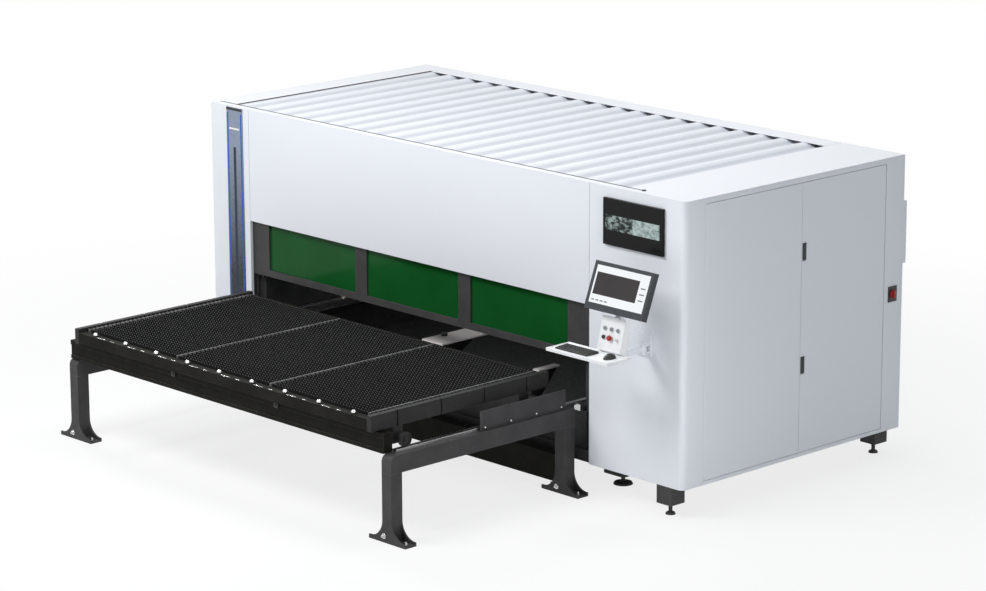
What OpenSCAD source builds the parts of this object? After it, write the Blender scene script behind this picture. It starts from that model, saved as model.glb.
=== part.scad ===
// Fiber laser cutting machine with a closed cabinet and a front exchange pallet.
// Lengths are in millimetres. Pieces are laid out with x = 0 at the cabinet's middle, y = 0 at its
// front face and z = 0 on the floor, and place() then moves them to the model's own origin.

/* [Cabinet] */
// Overall width of the cabinet
cabinet_w = 4980; // [4900:10:5300]
// Depth of the cabinet from its front to its rear face
cabinet_d = 2240; // [2200:10:2500]
// Height of the cabinet above the floor
cabinet_h = 2200; // [2150:10:2400]
// Height of the panels' lower edge above the floor
skirt_z = 210; // [190:5:240]
// Thickness of the folded cover panels
panel_t = 25; // [20:1:27]
// Thickness of the flat roof sheets
roof_t = 4; // [3:0.5:6]
// Radius of the rounded front corners
corner_r = 45; // [40:5:120]
// Depth of the corner panels' return along the sides
corner_return = 200; // [160:5:240]
// Gap between neighbouring covers and doors
seam = 3; // [2:0.5:5]

/* [Front opening] */
// Width of the front column left of the opening
column_w = 465; // [440:5:500]
// Width of the front panel right of the opening
front_right_w = 890; // [860:5:920]
// Height of the opening's upper edge
opening_top = 1345; // [1320:5:1400]
// Depth of the hood's folded top edge
hood_return = 70; // [60:5:90]

/* [Roof] */
// Number of corrugations in the roof sheet
wave_count = 20; // [12:1:24]
// Height of a corrugation
wave_h = 26; // [20:2:44]
// Width of the flat strip at the left of the roof
roof_left_w = 245; // [200:5:280]
// Width of the flat cover at the right of the roof
roof_right_w = 585; // [540:5:640]
// Depth of the strip at the rear of the roof, over the open ends of the corrugations
roof_rear_d = 175; // [150:5:200]

/* [Base] */
// Side of a square foot post
post_w = 135; // [110:5:150]
// Inset of the corner posts from the cabinet's sides
post_inset = 105; // [80:5:130]
// Side of the square base rails
rail_tube = 80; // [70:5:90]
// Height of a levelling foot
foot_h = 80; // [60:5:100]
// Radius of a corner foot's pad
foot_pad_r = 36; // [30:1:60]
// Side of a square post under the bed
bed_post_w = 190; // [160:5:200]
// Distance of the bed's posts from the cabinet's front and rear
bed_post_inset = 240; // [200:5:280]
// Radius of a bed foot's pad
bed_pad_r = 70; // [50:1:80]
// Radius of a levelling foot's screw
foot_screw_r = 14; // [10:1:18]

/* [Side doors] */
// Share of the side opening that the front door leaf covers
door_share = 0.523; // [0.48:0.001:0.55]
// Width of the fixed strip behind the rear door leaf
side_strip_w = 195; // [180:5:220]
// Height of the header above the doors
header_h = 36; // [30:2:50]
// Radius of a door's pivot pins
pivot_r = 5; // [4:0.5:5.5]
// Distance of the pivot axis from the leaf's edge and outer face
pivot_inset = 7; // [7:0.5:9]
// Length of a pivot pin inside the leaf
pivot_l = 30; // [20:1:40]
// Width of a door handle
handle_w = 34; // [32:1:44]
// Length of a door handle
handle_l = 120; // [100:5:140]
// Thickness of a door handle
handle_t = 12; // [10:1:14]
// Height of the upper handle's middle
handle_upper_z = 1670; // [1600:5:1720]
// Height of the lower handle's middle
handle_lower_z = 865; // [800:5:920]

/* [Lift door] */
// Thickness of the lift door
lift_door_t = 40; // [32:1:42]
// Height of the lift door's lower edge at rest
lift_door_z = 935; // [930:5:950]
// Height of the lift door
lift_door_h = 485; // [480:5:520]
// Mean width of the stiles beside the windows
stile_w = 210; // [200:2:240]
// Width of a mullion between windows
mullion_w = 125; // [100:5:140]
// Height of the lift door's lower and upper rails
door_rail_h = 50; // [40:2:60]
// Thickness of a window pane
pane_t = 8; // [6:1:12]

/* [Pallet] */
// Mean gap between the pallet's sides and the edges of the front opening
pallet_side_gap = 202.5; // [195:0.5:215]
// Depth of the pallet
pallet_d = 1630; // [1600:10:1660]
// Gap between the pallet and the cabinet front at rest
pallet_gap = 165; // [150:5:180]
// Shift of the table's middle from the opening's middle
table_shift = -27.5; // [-40:0.5:-15]
// Height of the slat tips above the floor
slat_top_z = 862; // [855:1:864]
// Height of a slat
slat_h = 92; // [80:2:96]
// Thickness of a slat
slat_t = 3; // [2:0.5:4]
// Number of slats
slat_count = 40; // [30:1:42]
// Number of teeth on a slat
tooth_count = 34; // [20:1:36]
// Height of a tooth
tooth_h = 14; // [8:1:20]
// Thickness of the pallet's side tubes
pallet_side_t = 40; // [30:2:50]
// Height of the pallet's side tubes
pallet_side_h = 110; // [100:2:112]
// Depth of the pallet's end bars
end_bar_d = 60; // [50:2:70]
// Thickness of a comb plate
comb_t = 8; // [6:1:12]
// Number of transfer balls on the front bar
ball_count = 9; // [7:1:11]
// Radius of a transfer ball
ball_r = 18; // [14:1:20]
// Radius of a pallet wheel
wheel_r = 50; // [46:1:52]
// Width of a pallet wheel
wheel_w = 30; // [24:1:34]
// Radius of a wheel's stub axle
axle_r = 12; // [10:1:15]
// Distance of a wheel's middle from the pallet's side
wheel_reach = 70; // [64:1:76]
// Distance of the wheels from the pallet's ends
wheel_inset = 235; // [200:5:280]

/* [Exchange frame] */
// Distance of a side beam's middle from the pallet's side
beam_reach = 95; // [90:1:105]
// Width of the legs and side beams
leg_w = 90; // [84:2:100]
// Depth of a leg
leg_d = 100; // [80:5:110]
// Gap between the pallet's front and the legs' front at rest
frame_setback = 45; // [30:5:60]
// Gap between the exchange frame and the cabinet
frame_gap = 50; // [40:5:60]
// Height of the side beams' top
beam_top = 605; // [600:1:610]
// Height of a side beam
beam_h = 125; // [110:5:140]
// Height of the front beam
front_beam_h = 136; // [120:2:138]
// Height of the rails that carry the wheels
track_h = 20; // [16:1:22]
// Length of a foot along the cabinet
sole_l = 360; // [320:10:400]
// Height of a foot's curved gussets
gusset_h = 140; // [120:5:160]
// Thickness of a foot's sole and gussets
sole_t = 12; // [10:1:16]
// Radius of an anchor hole
anchor_r = 9; // [7:1:11]
// Distance of the two anchor holes of a foot
anchor_pitch = 260; // [240:5:280]

/* [Bed and gantry] */
// Thickness of the bed's side walls
wall_t = 100; // [80:5:110]
// Gap between the wheels' outer face and the bed wall
wall_gap = 25; // [20:1:32]
// Height of the bed walls' top
bed_top = 895; // [885:1:900]
// Height of the linear rails on the bed
linear_rail_h = 28; // [24:1:32]
// Width of the linear rails
linear_rail_w = 30; // [24:1:36]
// Depth of the gantry beam
gantry_d = 200; // [160:5:220]
// Height of the gantry beam
gantry_h = 220; // [200:5:240]
// Length of the gantry's end trucks
truck_l = 380; // [340:10:400]
// Height of the gantry beam's lower face above the linear rails
truck_h = 62; // [50:2:70]
// Distance of the cutting head from the table's middle
head_x = -860; // [-1000:10:1000]
// Distance of the cutting head's axis behind the cabinet front
head_y = 125; // [122:1:135]
// Height of the nozzle above the slat tips
nozzle_gap = 14; // [10:1:20]

/* [Console] */
// Height of the keyboard tray
tray_z = 1190; // [1150:5:1220]
// Width of the keyboard tray
tray_w = 580; // [540:10:660]
// Depth of the keyboard tray
tray_d = 220; // [200:5:240]
// Distance of the console's mast from the cabinet front
arm_reach = 270; // [260:5:300]
// Distance of the console arm from the cabinet's right side
arm_inset = 330; // [320:5:360]
// Width of the button box
button_box_w = 215; // [200:5:230]
// Height of the button box
button_box_h = 230; // [220:5:240]
// Depth of the button box
button_box_d = 60; // [50:2:66]
// Backward slope of the button box in degrees
button_slope = 14; // [8:1:18]
// Width of the monitor
monitor_w = 545; // [520:5:600]
// Height of the monitor
monitor_h = 328; // [300:4:340]
// Thickness of the monitor
monitor_t = 42; // [36:2:48]
// Backward slope of the monitor in degrees
monitor_slope = 21; // [16:1:24]
// Radius of a push button
button_r = 13; // [11:0.5:15]

/* [Display] */
// Width of the wide display
display_w = 556; // [520:2:600]
// Height of the wide display
display_h = 322; // [300:2:350]
// Thickness of the wide display
display_t = 22; // [18:1:30]

/* [Hidden] */
$fn = 48;
// Radial clearance of a running fit, gap of a sliding fit and gap of a wheel over its rail
run_gap = 0.05;
slide_gap = 0.5;
roll_gap = 0.3;

// Cabinet faces
left = -cabinet_w / 2;
right = cabinet_w / 2;
open_left = left + column_w;
open_right = right - front_right_w;
table_x = (open_left + open_right) / 2 + table_shift;
lid_z = cabinet_h - roof_t;
rail_z = skirt_z + rail_tube;
foot_nut_h = 20;
inner_front = panel_t;
inner_rear = cabinet_d - panel_t;

// Pallet and rails
pallet_w = open_right - open_left - 2 * pallet_side_gap;
pallet_left = table_x - pallet_w / 2;
pallet_right = table_x + pallet_w / 2;
pallet_back = -pallet_gap;
pallet_front = pallet_back - pallet_d;
slat_z = slat_top_z - slat_h;
pallet_z = slat_top_z - pallet_side_h;
comb_drop = 15;
comb_tip_drop = 4;
comb_z = slat_z - comb_drop;
end_bar_z = pallet_z + sole_t;
end_bar_drop = 24;
end_bar_top = slat_top_z - end_bar_drop;
wheel_offset = pallet_w / 2 + wheel_reach;
wheel_z = beam_top + track_h + roll_gap + wheel_r;
wheel_y = [pallet_front + wheel_inset, pallet_back - wheel_inset];
track_w = wheel_w + 10;
slat_margin = 8;
slat_l = pallet_w - 2 * (pallet_side_t + slat_margin);
slat_run = pallet_d - 2 * end_bar_d;
slat_pitch = slat_run / slat_count;
ball_margin = 166;
ball_pitch = (pallet_w - 2 * pallet_side_t - 2 * ball_margin) / (ball_count - 1);
side_gap_w = 16;
side_gap_d = 10;
side_gap_y = 227;
side_gap_pitch = 395;

// Exchange frame
frame_gauge = pallet_w + 2 * beam_reach;
frame_front = pallet_front + frame_setback;
frame_back = -frame_gap;
beam_z = beam_top - beam_h;

// Bed
wall_inner = wheel_offset + wheel_w / 2 + wall_gap;
wall_mid = wall_inner + wall_t / 2;
bed_setback = 65;
bed_rear_gap = 95;
bed_front = inner_front + bed_setback;
bed_back = inner_rear - bed_rear_gap;
track_top = bed_top + linear_rail_h;
plate_t = 40;
ledge_h = 45;
plate_top = beam_top - ledge_h;

bed_slot_w = 420;
bed_slot_h = 60;
bed_slot_rise = 70;
bed_slot_pitch = pallet_w / 3;
tray_wall = 4;
tray_gap = 5;
scrap_tray_h = 60;
rack_w = 18;
rack_h = 14;

// Gantry, from the cutting head backwards
head_body_w = 110;
head_body_d = 90;
truck_w = 64;
truck_lip = 12;
truck_lead = 75;
head_plate_t = 44;
slide_rail = 20;
carriage_t = 58;
head_front = head_y + head_body_d / 2;
carriage_front = head_front + head_plate_t + slide_gap;
gantry_front = carriage_front + carriage_t + slide_gap;
beam_low = track_top + truck_h;
nozzle_z = slat_top_z + nozzle_gap;
head_at = table_x + head_x;
cross_rail_inset = 40;
cross_rail_z = [beam_low + cross_rail_inset, beam_low + gantry_h - cross_rail_inset - linear_rail_w];
// Half outline of the nozzle, its holder and the focus barrel, up from the nozzle's tip
head_outline = [[0, 0], [4, 0], [13, 18], [20, 18], [20, 40], [28, 40], [38, 62], [40, 62]];
carriage_w = 250;
carriage_low = beam_low + 15;
carriage_top = beam_low + gantry_h - 5;
motor_plate_h = 135;
motor_plate_t = 26;
head_plate_w = 130;

// Side doors
door_x = right - panel_t;
sill_z = skirt_z + 27;
door_z0 = sill_z + seam;
header_z = lid_z - header_h;
door_z1 = header_z - seam;
door_front_y = corner_return + seam;
strip_y = cabinet_d - side_strip_w;
door_mid_y = corner_return + (strip_y - corner_return) * door_share;
pivot_x = right - pivot_inset;
pivot_front_y = door_front_y + pivot_inset;
pivot_rear_y = strip_y - seam - pivot_inset;
handle_y = door_mid_y + 28;
pocket_gap = 4;
pocket_depth = 18;
handle_pin_r = 4;

// Lift door
window_w = (open_right - open_left - 2 * stile_w - 2 * mullion_w) / 3;
lift_door_y = inner_front + 4;
guide_w = 30;
door_left = open_left - 16;
door_right = open_right + 16;
guide_d = lift_door_t + 14;

// Equipment bay
bay_gap = 6;
partition_t = 4;
partition_x = door_right + slide_gap + guide_w + bay_gap;
device_rows = 3;
device_columns = 5;
device_fill = 0.733;
device_h = 260;
device_d = 120;
device_z = 640;
device_row_pitch = 420;
plate_y = [door_mid_y + 65, inner_rear - 115];
plate_z = [device_z - 140, lid_z - 296];
plate_margin = 60;
device_pitch = (plate_y[1] - plate_y[0] - 2 * plate_margin) / device_columns;
source_h = 810;
source_x = [partition_x + 80, door_x - 90];
source_y = [corner_return + 100, door_mid_y - 85];
source_margin = 100;
fin_count = 4;
fin_pitch = 60;
fin_h = 26;
fin_d = 6;
cooler_w = 500;
cooler_h = 450;
cooler_d = 80;
cooler_z = 1400;
switch_z = cabinet_h - 990;
cooler_margin = 60;
louvre_count = 5;
louvre_pitch = 30;
louvre_h = 12;
louvre_d = 6;
cooler_fan_r = 95;
switch_plate_w = 90;
switch_plate_h = 112;
switch_plate_t = 6;
switch_knob_t = 22;
switch_knob_r = 30;
switch_grip_w = 16;
switch_y = strip_y + side_strip_w / 2 - 10;

// Console
arm_x = right - arm_inset;
arm_tube = 40;
tray_t = 20;
arm_z = tray_z - tray_t - arm_tube / 2;
swing_y = -50;
swing_r = 25;
swing_pin_r = 12;
ear_t = 12;
mast_y = -arm_reach;
arm_end_y = mast_y - 210;
tray_x = arm_x - 370;
tray_y = mast_y - 110 - tray_d;
keyboard_w = 300;
keyboard_d = 115;
keyboard_x = tray_x + 50;
keyboard_y = tray_y + 35;
key_pitch = (keyboard_d - 12) / 5;
box_y = mast_y - 80;
box_x = arm_x + 25;
box_z = tray_z + 115;
button_pitch = 60;
upper_row = 35;
lower_row = -25;
button_stem_r = 9;
key_stem_r = 6;
stop_r = 19;
monitor_x = arm_x + 67;
monitor_y = mast_y - 60;
monitor_z = tray_z + 420;
tilt_z = monitor_z - 20;
tilt_r = 9;
tilt_wall = 9;
bezel = 26;
monitor_chin = 46;

// Roof, light strip, display and switch
roof_left = left + roof_left_w;
roof_right = right - roof_right_w;
roof_span = roof_right - roof_left;
wave_pitch = roof_span / wave_count;
wave_facets = 10;
roof_lap = 20;
strip_x = left + 309;
strip_w = 182;
strip_t = 8;
strip_low_z = 330;
display_x = right - 462;
display_z = cabinet_h - 236;
switch_shaft_r = 6;
cooler_x = right - 40 - cooler_w;
handle_pin_x = right + 2 - handle_t / 2;

// Smaller fittings of the bed, the door and the exchange table
z_rail_w = 60;
z_rail_t = 15;
infeed_y = bed_front + 60;
infeed_z = pallet_z - 27;
door_rise = 420;
door_guide_top = lift_door_z + lift_door_h + door_rise + 60;
gusset_r = (sole_l - leg_w) / 2 - 10;
beam_corner_r = 50;
brace_z = 70;
brace_h = 195;
brace_inset = 15;
front_beam_d = 80;
front_beam_inset = 12;
front_beam_left = leg_w / 2 - 5;
front_beam_right = leg_w / 2 - 5;
guard_l = 800;
guard_t = 10;
guard_inset = 60;
guard_offset = 8;
strip_edge = 14;
strip_groove = 16;
strip_groove_d = 3;
display_edge = 14;
display_chin = 18;
screen_sink = 2;
infeed_w = [220, 62];
infeed_l = [455, 210];
infeed_x = [80, pallet_w / 2 - 450];
infeed_knob_x = -66;
infeed_t = 10;
infeed_rib_t = 24;
infeed_rib_h = 150;
infeed_knob_r = 22;
infeed_knob_h = 20;
ball_sink = 12;
comb_margin = 40;
comb_x = [for (i = [0:3]) table_x - slat_l / 2 + comb_margin + i * (slat_l - 2 * comb_margin) / 3];

// Origin: the middle of the whole machine's footprint, on the floor
reach_right = right + switch_plate_t + switch_knob_t;
reach_back = cabinet_d + cooler_d;
origin_x = (left + reach_right) / 2;
origin_y = (pallet_front + reach_back) / 2;

white = [0.90, 0.91, 0.93];
dark = [0.20, 0.19, 0.20];
black = [0.06, 0.06, 0.07];
steel = [0.66, 0.67, 0.69];
glass_green = [0.06, 0.30, 0.11];

// Box between two opposite corners
module block(low, high) {
    translate(low) cube(high - low);
}

// Rectangle with its near right corner rounded
module rounded_corner(w, d, r) {
    square([w - r, d]);
    translate([0, r]) square([w, d - r]);
    translate([w - r, r]) circle(r);
}

// Front panel that wraps round a corner, with its free edge at x = 0
module corner_panel(w) {
    linear_extrude(lid_z - skirt_z) difference() {
        rounded_corner(w, corner_return, corner_r);
        translate([-1, panel_t]) rounded_corner(w - panel_t + 1, corner_return, corner_r - panel_t);
    }
}

// Copies at the left and the right of the table's middle, built for the right side
module both_sides() {
    translate([table_x, 0, 0]) children();
    translate([table_x, 0, 0]) mirror([1, 0, 0]) children();
}

// Outline in the y and z directions, drawn along x from x0 to x1
module along_x(x0, x1) {
    translate([x0, 0, 0]) rotate([90, 0, 90]) linear_extrude(x1 - x0) children();
}

// Outline in the x and z directions, drawn along y from y0 to y1
module along_y(y0, y1) {
    translate([0, y1, 0]) rotate([90, 0, 0]) linear_extrude(y1 - y0) children();
}

// Base and feet
module corner_posts() {
    for (x = [left + post_inset, right - post_inset - post_w], y = [0, cabinet_d - post_w])
        translate([x, y, 0]) children();
}

module bed_posts() both_sides()
    for (y = [bed_post_inset, cabinet_d - bed_post_inset - bed_post_w])
        translate([wall_mid - rail_tube / 4, y, 0]) children();

// Plan of the space inside the covers, clear of the doors' swing and of the rounded corners
module inside_plan()
    polygon([[left + panel_t, corner_r], [left + corner_r, inner_front],
             [right - corner_r, inner_front], [door_x - seam, corner_r],
             [door_x - seam, inner_rear], [left + panel_t, inner_rear]]);

module base_frame() color(dark) {
    corner_posts() block([0, 0, foot_h], [post_w, post_w, skirt_z]);
    bed_posts() block([0, 0, foot_h], [bed_post_w, bed_post_w, skirt_z]);
    intersection() {
        translate([0, 0, skirt_z]) linear_extrude(rail_tube) inside_plan();
        union() {
            corner_posts() block([0, 0, skirt_z], [post_w, post_w, rail_z]);
            bed_posts() block([0, 0, skirt_z], [bed_post_w, bed_post_w, rail_z]);
            for (y = [inner_front, inner_rear - rail_tube])
                block([left, y, skirt_z], [right, y + rail_tube, rail_z]);
            for (x = [left + panel_t, door_x - rail_tube])
                block([x, inner_front, skirt_z], [x + rail_tube, inner_rear, rail_z]);
            both_sides() block([wall_mid - rail_tube / 2, inner_front, skirt_z],
                               [wall_mid + rail_tube / 2, inner_rear, rail_z]);
        }
    }
}

module levelling_foot(pad_r) {
    cylinder(h = foot_screw_r, r1 = pad_r, r2 = pad_r - foot_screw_r / 2);
    cylinder(h = foot_h, r = foot_screw_r);
    translate([0, 0, foot_h - foot_nut_h]) cylinder(h = foot_nut_h, r = foot_screw_r * 1.7, $fn = 6);
}

module levelling_feet() color(black) {
    corner_posts() translate([post_w / 2, post_w / 2, 0]) levelling_foot(foot_pad_r);
    bed_posts() translate([bed_post_w / 2, bed_post_w / 2, 0]) levelling_foot(bed_pad_r);
}

// Cabinet covers
module left_column() color(white)
    mirror([1, 0, 0]) translate([-open_left, 0, skirt_z]) corner_panel(column_w);

module front_right_panel() color(white)
    translate([open_right, 0, skirt_z]) corner_panel(front_right_w);

module front_hood() color(white)
    along_x(open_left + seam, open_right - seam) {
        translate([0, opening_top]) square([panel_t, lid_z - opening_top]);
        translate([0, lid_z - panel_t]) square([hood_return - roof_lap - seam, panel_t]);
    }

module left_side_panel() color(white)
    block([left, corner_return + seam, skirt_z], [left + panel_t, inner_rear, lid_z]);

module rear_panel() color(white)
    block([left, inner_rear, skirt_z], [right, cabinet_d, lid_z]);

module side_frame() color(white) {
    block([door_x, corner_return, skirt_z], [right, inner_rear, sill_z]);
    block([door_x, corner_return, header_z], [right, inner_rear, lid_z]);
    block([door_x, strip_y, skirt_z], [right, inner_rear, lid_z]);
}

module roof_panel() color(white) {
    steps = wave_count * wave_facets;
    crest = [for (i = [0:steps])
        [roof_span * i / steps, -wave_h * (1 - cos(360 * i / wave_facets)) / 2]];
    under = [for (i = [steps:-1:0]) crest[i] - [0, roof_t]];
    translate([roof_left, 0, lid_z - roll_gap])
        along_y(hood_return - roof_lap, cabinet_d - roof_rear_d + roof_lap) polygon(concat(crest, under));
}

module roof_covers() color(white) {
    translate([roof_right, 0, lid_z]) linear_extrude(roof_t)
        rounded_corner(roof_right_w, cabinet_d, corner_r);
    mirror([1, 0, 0]) translate([-roof_left, 0, lid_z]) linear_extrude(roof_t)
        rounded_corner(roof_left_w, cabinet_d, corner_r);
    block([roof_left + seam, 0, lid_z], [roof_right - seam, hood_return, cabinet_h]);
    block([roof_left + seam, cabinet_d - roof_rear_d, lid_z], [roof_right - seam, cabinet_d, cabinet_h]);
}

// Side doors
module pivot_pin() {
    cylinder(h = seam - slide_gap, r = pivot_r + 1.5);
    cylinder(h = seam + pivot_l, r = pivot_r);
}

module door_pivots() color(steel)
    for (y = [pivot_front_y, pivot_rear_y]) {
        translate([pivot_x, y, sill_z]) pivot_pin();
        translate([pivot_x, y, header_z]) mirror([0, 0, 1]) pivot_pin();
    }

// Door leaf of width w whose rounded hinge edge is at y = 0 and whose outer face is at x = 0
module door_leaf(w) {
    difference() {
        translate([0, 0, door_z0]) linear_extrude(door_z1 - door_z0) {
            translate([-panel_t, 0]) square([panel_t - pivot_inset, w]);
            translate([-panel_t, pivot_inset]) square([panel_t, w - pivot_inset]);
            translate([-pivot_inset, pivot_inset]) circle(pivot_inset);
        }
        for (z = [door_z0 - 1, door_z1 - pivot_l - 2])
            translate([-pivot_inset, pivot_inset, z]) cylinder(h = pivot_l + 3, r = pivot_r + run_gap);
    }
}

module side_door_front() color(white)
    translate([right, door_front_y, 0]) door_leaf(door_mid_y - seam / 2 - door_front_y);

module side_door_rear() color(white) {
    difference() {
        translate([right, strip_y - seam, 0]) mirror([0, 1, 0])
            door_leaf(strip_y - 1.5 * seam - door_mid_y);
        for (z = [handle_upper_z, handle_lower_z]) handle_pocket(z);
    }
    for (z = [handle_upper_z, handle_lower_z])
        translate([handle_pin_x, handle_y - handle_w / 2 - pocket_gap - 1, z - handle_l / 2 + handle_t / 2])
            rotate([-90, 0, 0]) cylinder(h = handle_w + 2 * pocket_gap + 2, r = handle_pin_r);
}

module handle_pocket(z)
    block([right - pocket_depth, handle_y - handle_w / 2 - pocket_gap, z - handle_l / 2 - pocket_gap],
          [right + 1, handle_y + handle_w / 2 + pocket_gap, z + handle_l / 2 + pocket_gap]);

module door_handle(z) color(dark)
    translate([handle_pin_x, handle_y + handle_w / 2, z - handle_l / 2 + handle_t / 2])
        rotate([90, 0, 0]) linear_extrude(handle_w) difference() {
            union() {
                translate([-handle_t / 2, 0]) square([handle_t, handle_l - handle_t]);
                circle(handle_t / 2);
                translate([0, handle_l - handle_t]) circle(handle_t / 2);
            }
            circle(handle_pin_r + run_gap);
        }

module door_handle_upper() door_handle(handle_upper_z);
module door_handle_lower() door_handle(handle_lower_z);

module main_switch_plate() color(black)
    difference() {
        block([right, switch_y - switch_plate_w / 2, switch_z - switch_plate_h / 2],
              [right + switch_plate_t, switch_y + switch_plate_w / 2, switch_z + switch_plate_h / 2]);
        translate([right - 1, switch_y, switch_z]) rotate([0, 90, 0])
            cylinder(h = switch_plate_t + 2, r = switch_shaft_r + run_gap);
    }

module main_switch_knob() color([0.75, 0.08, 0.07])
    translate([right + slide_gap, switch_y, switch_z]) rotate([0, 90, 0]) {
        cylinder(h = switch_plate_t, r = switch_shaft_r);
        translate([0, 0, switch_plate_t]) cylinder(h = switch_grip_w / 2, r = switch_knob_r);
        translate([2 - switch_knob_r, -switch_grip_w / 2, switch_plate_t])
            cube([2 * switch_knob_r - 4, switch_grip_w, switch_knob_t - slide_gap]);
    }

module cabinet_cooler() color(white) {
    difference() {
        block([cooler_x, cabinet_d, cooler_z],
              [cooler_x + cooler_w, cabinet_d + cooler_d, cooler_z + cooler_h]);
        for (i = [0:louvre_count - 1])
            translate([cooler_x + cooler_margin, cabinet_d + cooler_d - louvre_d,
                       cooler_z + cooler_margin + louvre_pitch * (i - 0.5)])
                cube([cooler_w - 2 * cooler_margin, louvre_d + 1, louvre_h]);
        translate([cooler_x + cooler_w / 2, cabinet_d + cooler_d - louvre_d,
                   cooler_z + cooler_h - cooler_fan_r - cooler_margin / 2])
            rotate([-90, 0, 0]) cylinder(h = louvre_d + 1, r = cooler_fan_r);
    }
}

module light_strip() color(dark)
    difference() {
        block([strip_x - strip_w / 2, -strip_t, strip_low_z], [strip_x + strip_w / 2, 0, lid_z - 4]);
        for (side = [-1, 1])
            translate([strip_x + side * (strip_w / 2 - strip_edge) - strip_groove / 2,
                       -strip_t - 1, strip_low_z + strip_edge])
                cube([strip_groove, strip_groove_d + 1, lid_z - 4 * strip_edge - strip_low_z]);
    }

module wide_display() color(black)
    difference() {
        block([display_x - display_w / 2, -display_t, display_z - display_h / 2],
              [display_x + display_w / 2, 0, display_z + display_h / 2]);
        block([display_x - display_w / 2 + display_edge, -display_t - 1,
               display_z - display_h / 2 + display_chin],
              [display_x + display_w / 2 - display_edge, -display_t + screen_sink,
               display_z + display_h / 2 - display_edge]);
    }

// Bed and gantry
module bed_side_walls() color(dark)
    both_sides() block([wall_inner, bed_front, rail_z], [wall_inner + wall_t, bed_back, bed_top]);

module bed_end_plates() color(dark) {
    difference() {
        block([table_x - wall_mid, bed_front - plate_t, rail_z],
              [table_x + wall_mid, bed_front, plate_top]);
        for (i = [-1:1])
            translate([table_x + i * bed_slot_pitch - bed_slot_w / 2, bed_front - plate_t - 1,
                       rail_z + bed_slot_rise])
                cube([bed_slot_w, plate_t + 2, bed_slot_h]);
    }
    block([table_x - wall_mid, bed_back, rail_z], [table_x + wall_mid, bed_back + plate_t, bed_top]);
}

module scrap_tray() color([0.30, 0.30, 0.31]) {
    inner = tray_gap + tray_wall;
    difference() {
        block([table_x - wall_inner + tray_gap, bed_front + tray_gap, rail_z],
              [table_x + wall_inner - tray_gap, bed_back - tray_gap, rail_z + scrap_tray_h]);
        block([table_x - wall_inner + inner, bed_front + inner, rail_z + tray_wall],
              [table_x + wall_inner - inner, bed_back - inner, rail_z + scrap_tray_h + 1]);
    }
}

module gantry_tracks() color(steel)
    both_sides() {
        block([wall_mid - linear_rail_w / 2, bed_front, bed_top],
              [wall_mid + linear_rail_w / 2, bed_back, track_top]);
        block([wall_inner + wall_t - rack_w, bed_front, bed_top],
              [wall_inner + wall_t, bed_back, bed_top + rack_h]);
    }

module gantry_beam() color([0.42, 0.43, 0.45]) {
    both_sides() difference() {
        block([wall_mid - truck_w / 2, gantry_front - truck_lead, track_top - truck_lip],
              [wall_mid + truck_w / 2, gantry_front - truck_lead + truck_l, beam_low]);
        translate([wall_mid - linear_rail_w / 2 - slide_gap, gantry_front - truck_lead - 1,
                   track_top - truck_lip - 1])
            cube([linear_rail_w + 2 * slide_gap, truck_l + 2, truck_lip + 1 + slide_gap]);
    }
    block([table_x - wall_mid - truck_w / 2, gantry_front, beam_low],
          [table_x + wall_mid + truck_w / 2, gantry_front + gantry_d, beam_low + gantry_h]);
    for (z = cross_rail_z)
        block([table_x - wall_inner, gantry_front - slide_rail, z],
              [table_x + wall_inner, gantry_front, z + linear_rail_w]);
}

module head_carriage() color([0.55, 0.56, 0.58]) {
    difference() {
        block([head_at - carriage_w / 2, carriage_front, carriage_low],
              [head_at + carriage_w / 2, gantry_front - slide_gap, carriage_top]);
        for (z = cross_rail_z)
            block([head_at - carriage_w, gantry_front - slide_rail - slide_gap, z - slide_gap],
                  [head_at + carriage_w, gantry_front, z + linear_rail_w + slide_gap]);
    }
    block([head_at - z_rail_w / 2, carriage_front - z_rail_t, carriage_low],
          [head_at + z_rail_w / 2, carriage_front, carriage_top + motor_plate_h]);
    block([head_at - carriage_w / 2, carriage_front, carriage_top],
          [head_at + carriage_w / 2, carriage_front + motor_plate_t, carriage_top + motor_plate_h]);
}

module cutting_head() color([0.62, 0.63, 0.65]) {
    difference() {
        block([head_at - head_plate_w / 2, head_front, beam_low - 30],
              [head_at + head_plate_w / 2, carriage_front - slide_gap, beam_low + gantry_h - 20]);
        block([head_at - z_rail_w / 2 - slide_gap, carriage_front - z_rail_t - slide_gap, beam_low - 31],
              [head_at + z_rail_w / 2 + slide_gap, carriage_front, beam_low + gantry_h]);
    }
    translate([head_at, head_y, 0])
        block([-head_body_w / 2, -head_body_d / 2, beam_low - 20],
              [head_body_w / 2, head_body_d / 2, beam_low + gantry_h - 30]);
    translate([head_at, head_y, nozzle_z]) rotate_extrude() polygon(concat(
        head_outline, [[40, beam_low - nozzle_z - 20], [0, beam_low - nozzle_z - 20]]));
    translate([head_at, head_y, beam_low + gantry_h - 30]) cylinder(h = 60, r = 30);
}

// Flat plate on a gusset behind the bed's front plate, its middle at x
module infeed_plate(x, w, l) {
    under = infeed_z - infeed_t;
    rib_end = infeed_y + l - 2 * infeed_t;
    block([x - w / 2, infeed_y, under], [x + w / 2, infeed_y + l, infeed_z]);
    along_x(x - infeed_rib_t / 2, x + infeed_rib_t / 2)
        polygon([[bed_front, plate_top - infeed_rib_h], [bed_front, plate_top], [infeed_y, under],
                 [rib_end, under], [rib_end, under - 2 * infeed_t]]);
}

module infeed_plates() color([0.85, 0.82, 0.80]) {
    for (i = [0, 1]) infeed_plate(table_x + infeed_x[i], infeed_w[i], infeed_l[i]);
    translate([table_x + infeed_x[0] + infeed_knob_x, infeed_y + infeed_l[0] * 0.4, infeed_z])
        cylinder(h = infeed_knob_h, r = infeed_knob_r);
}

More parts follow.
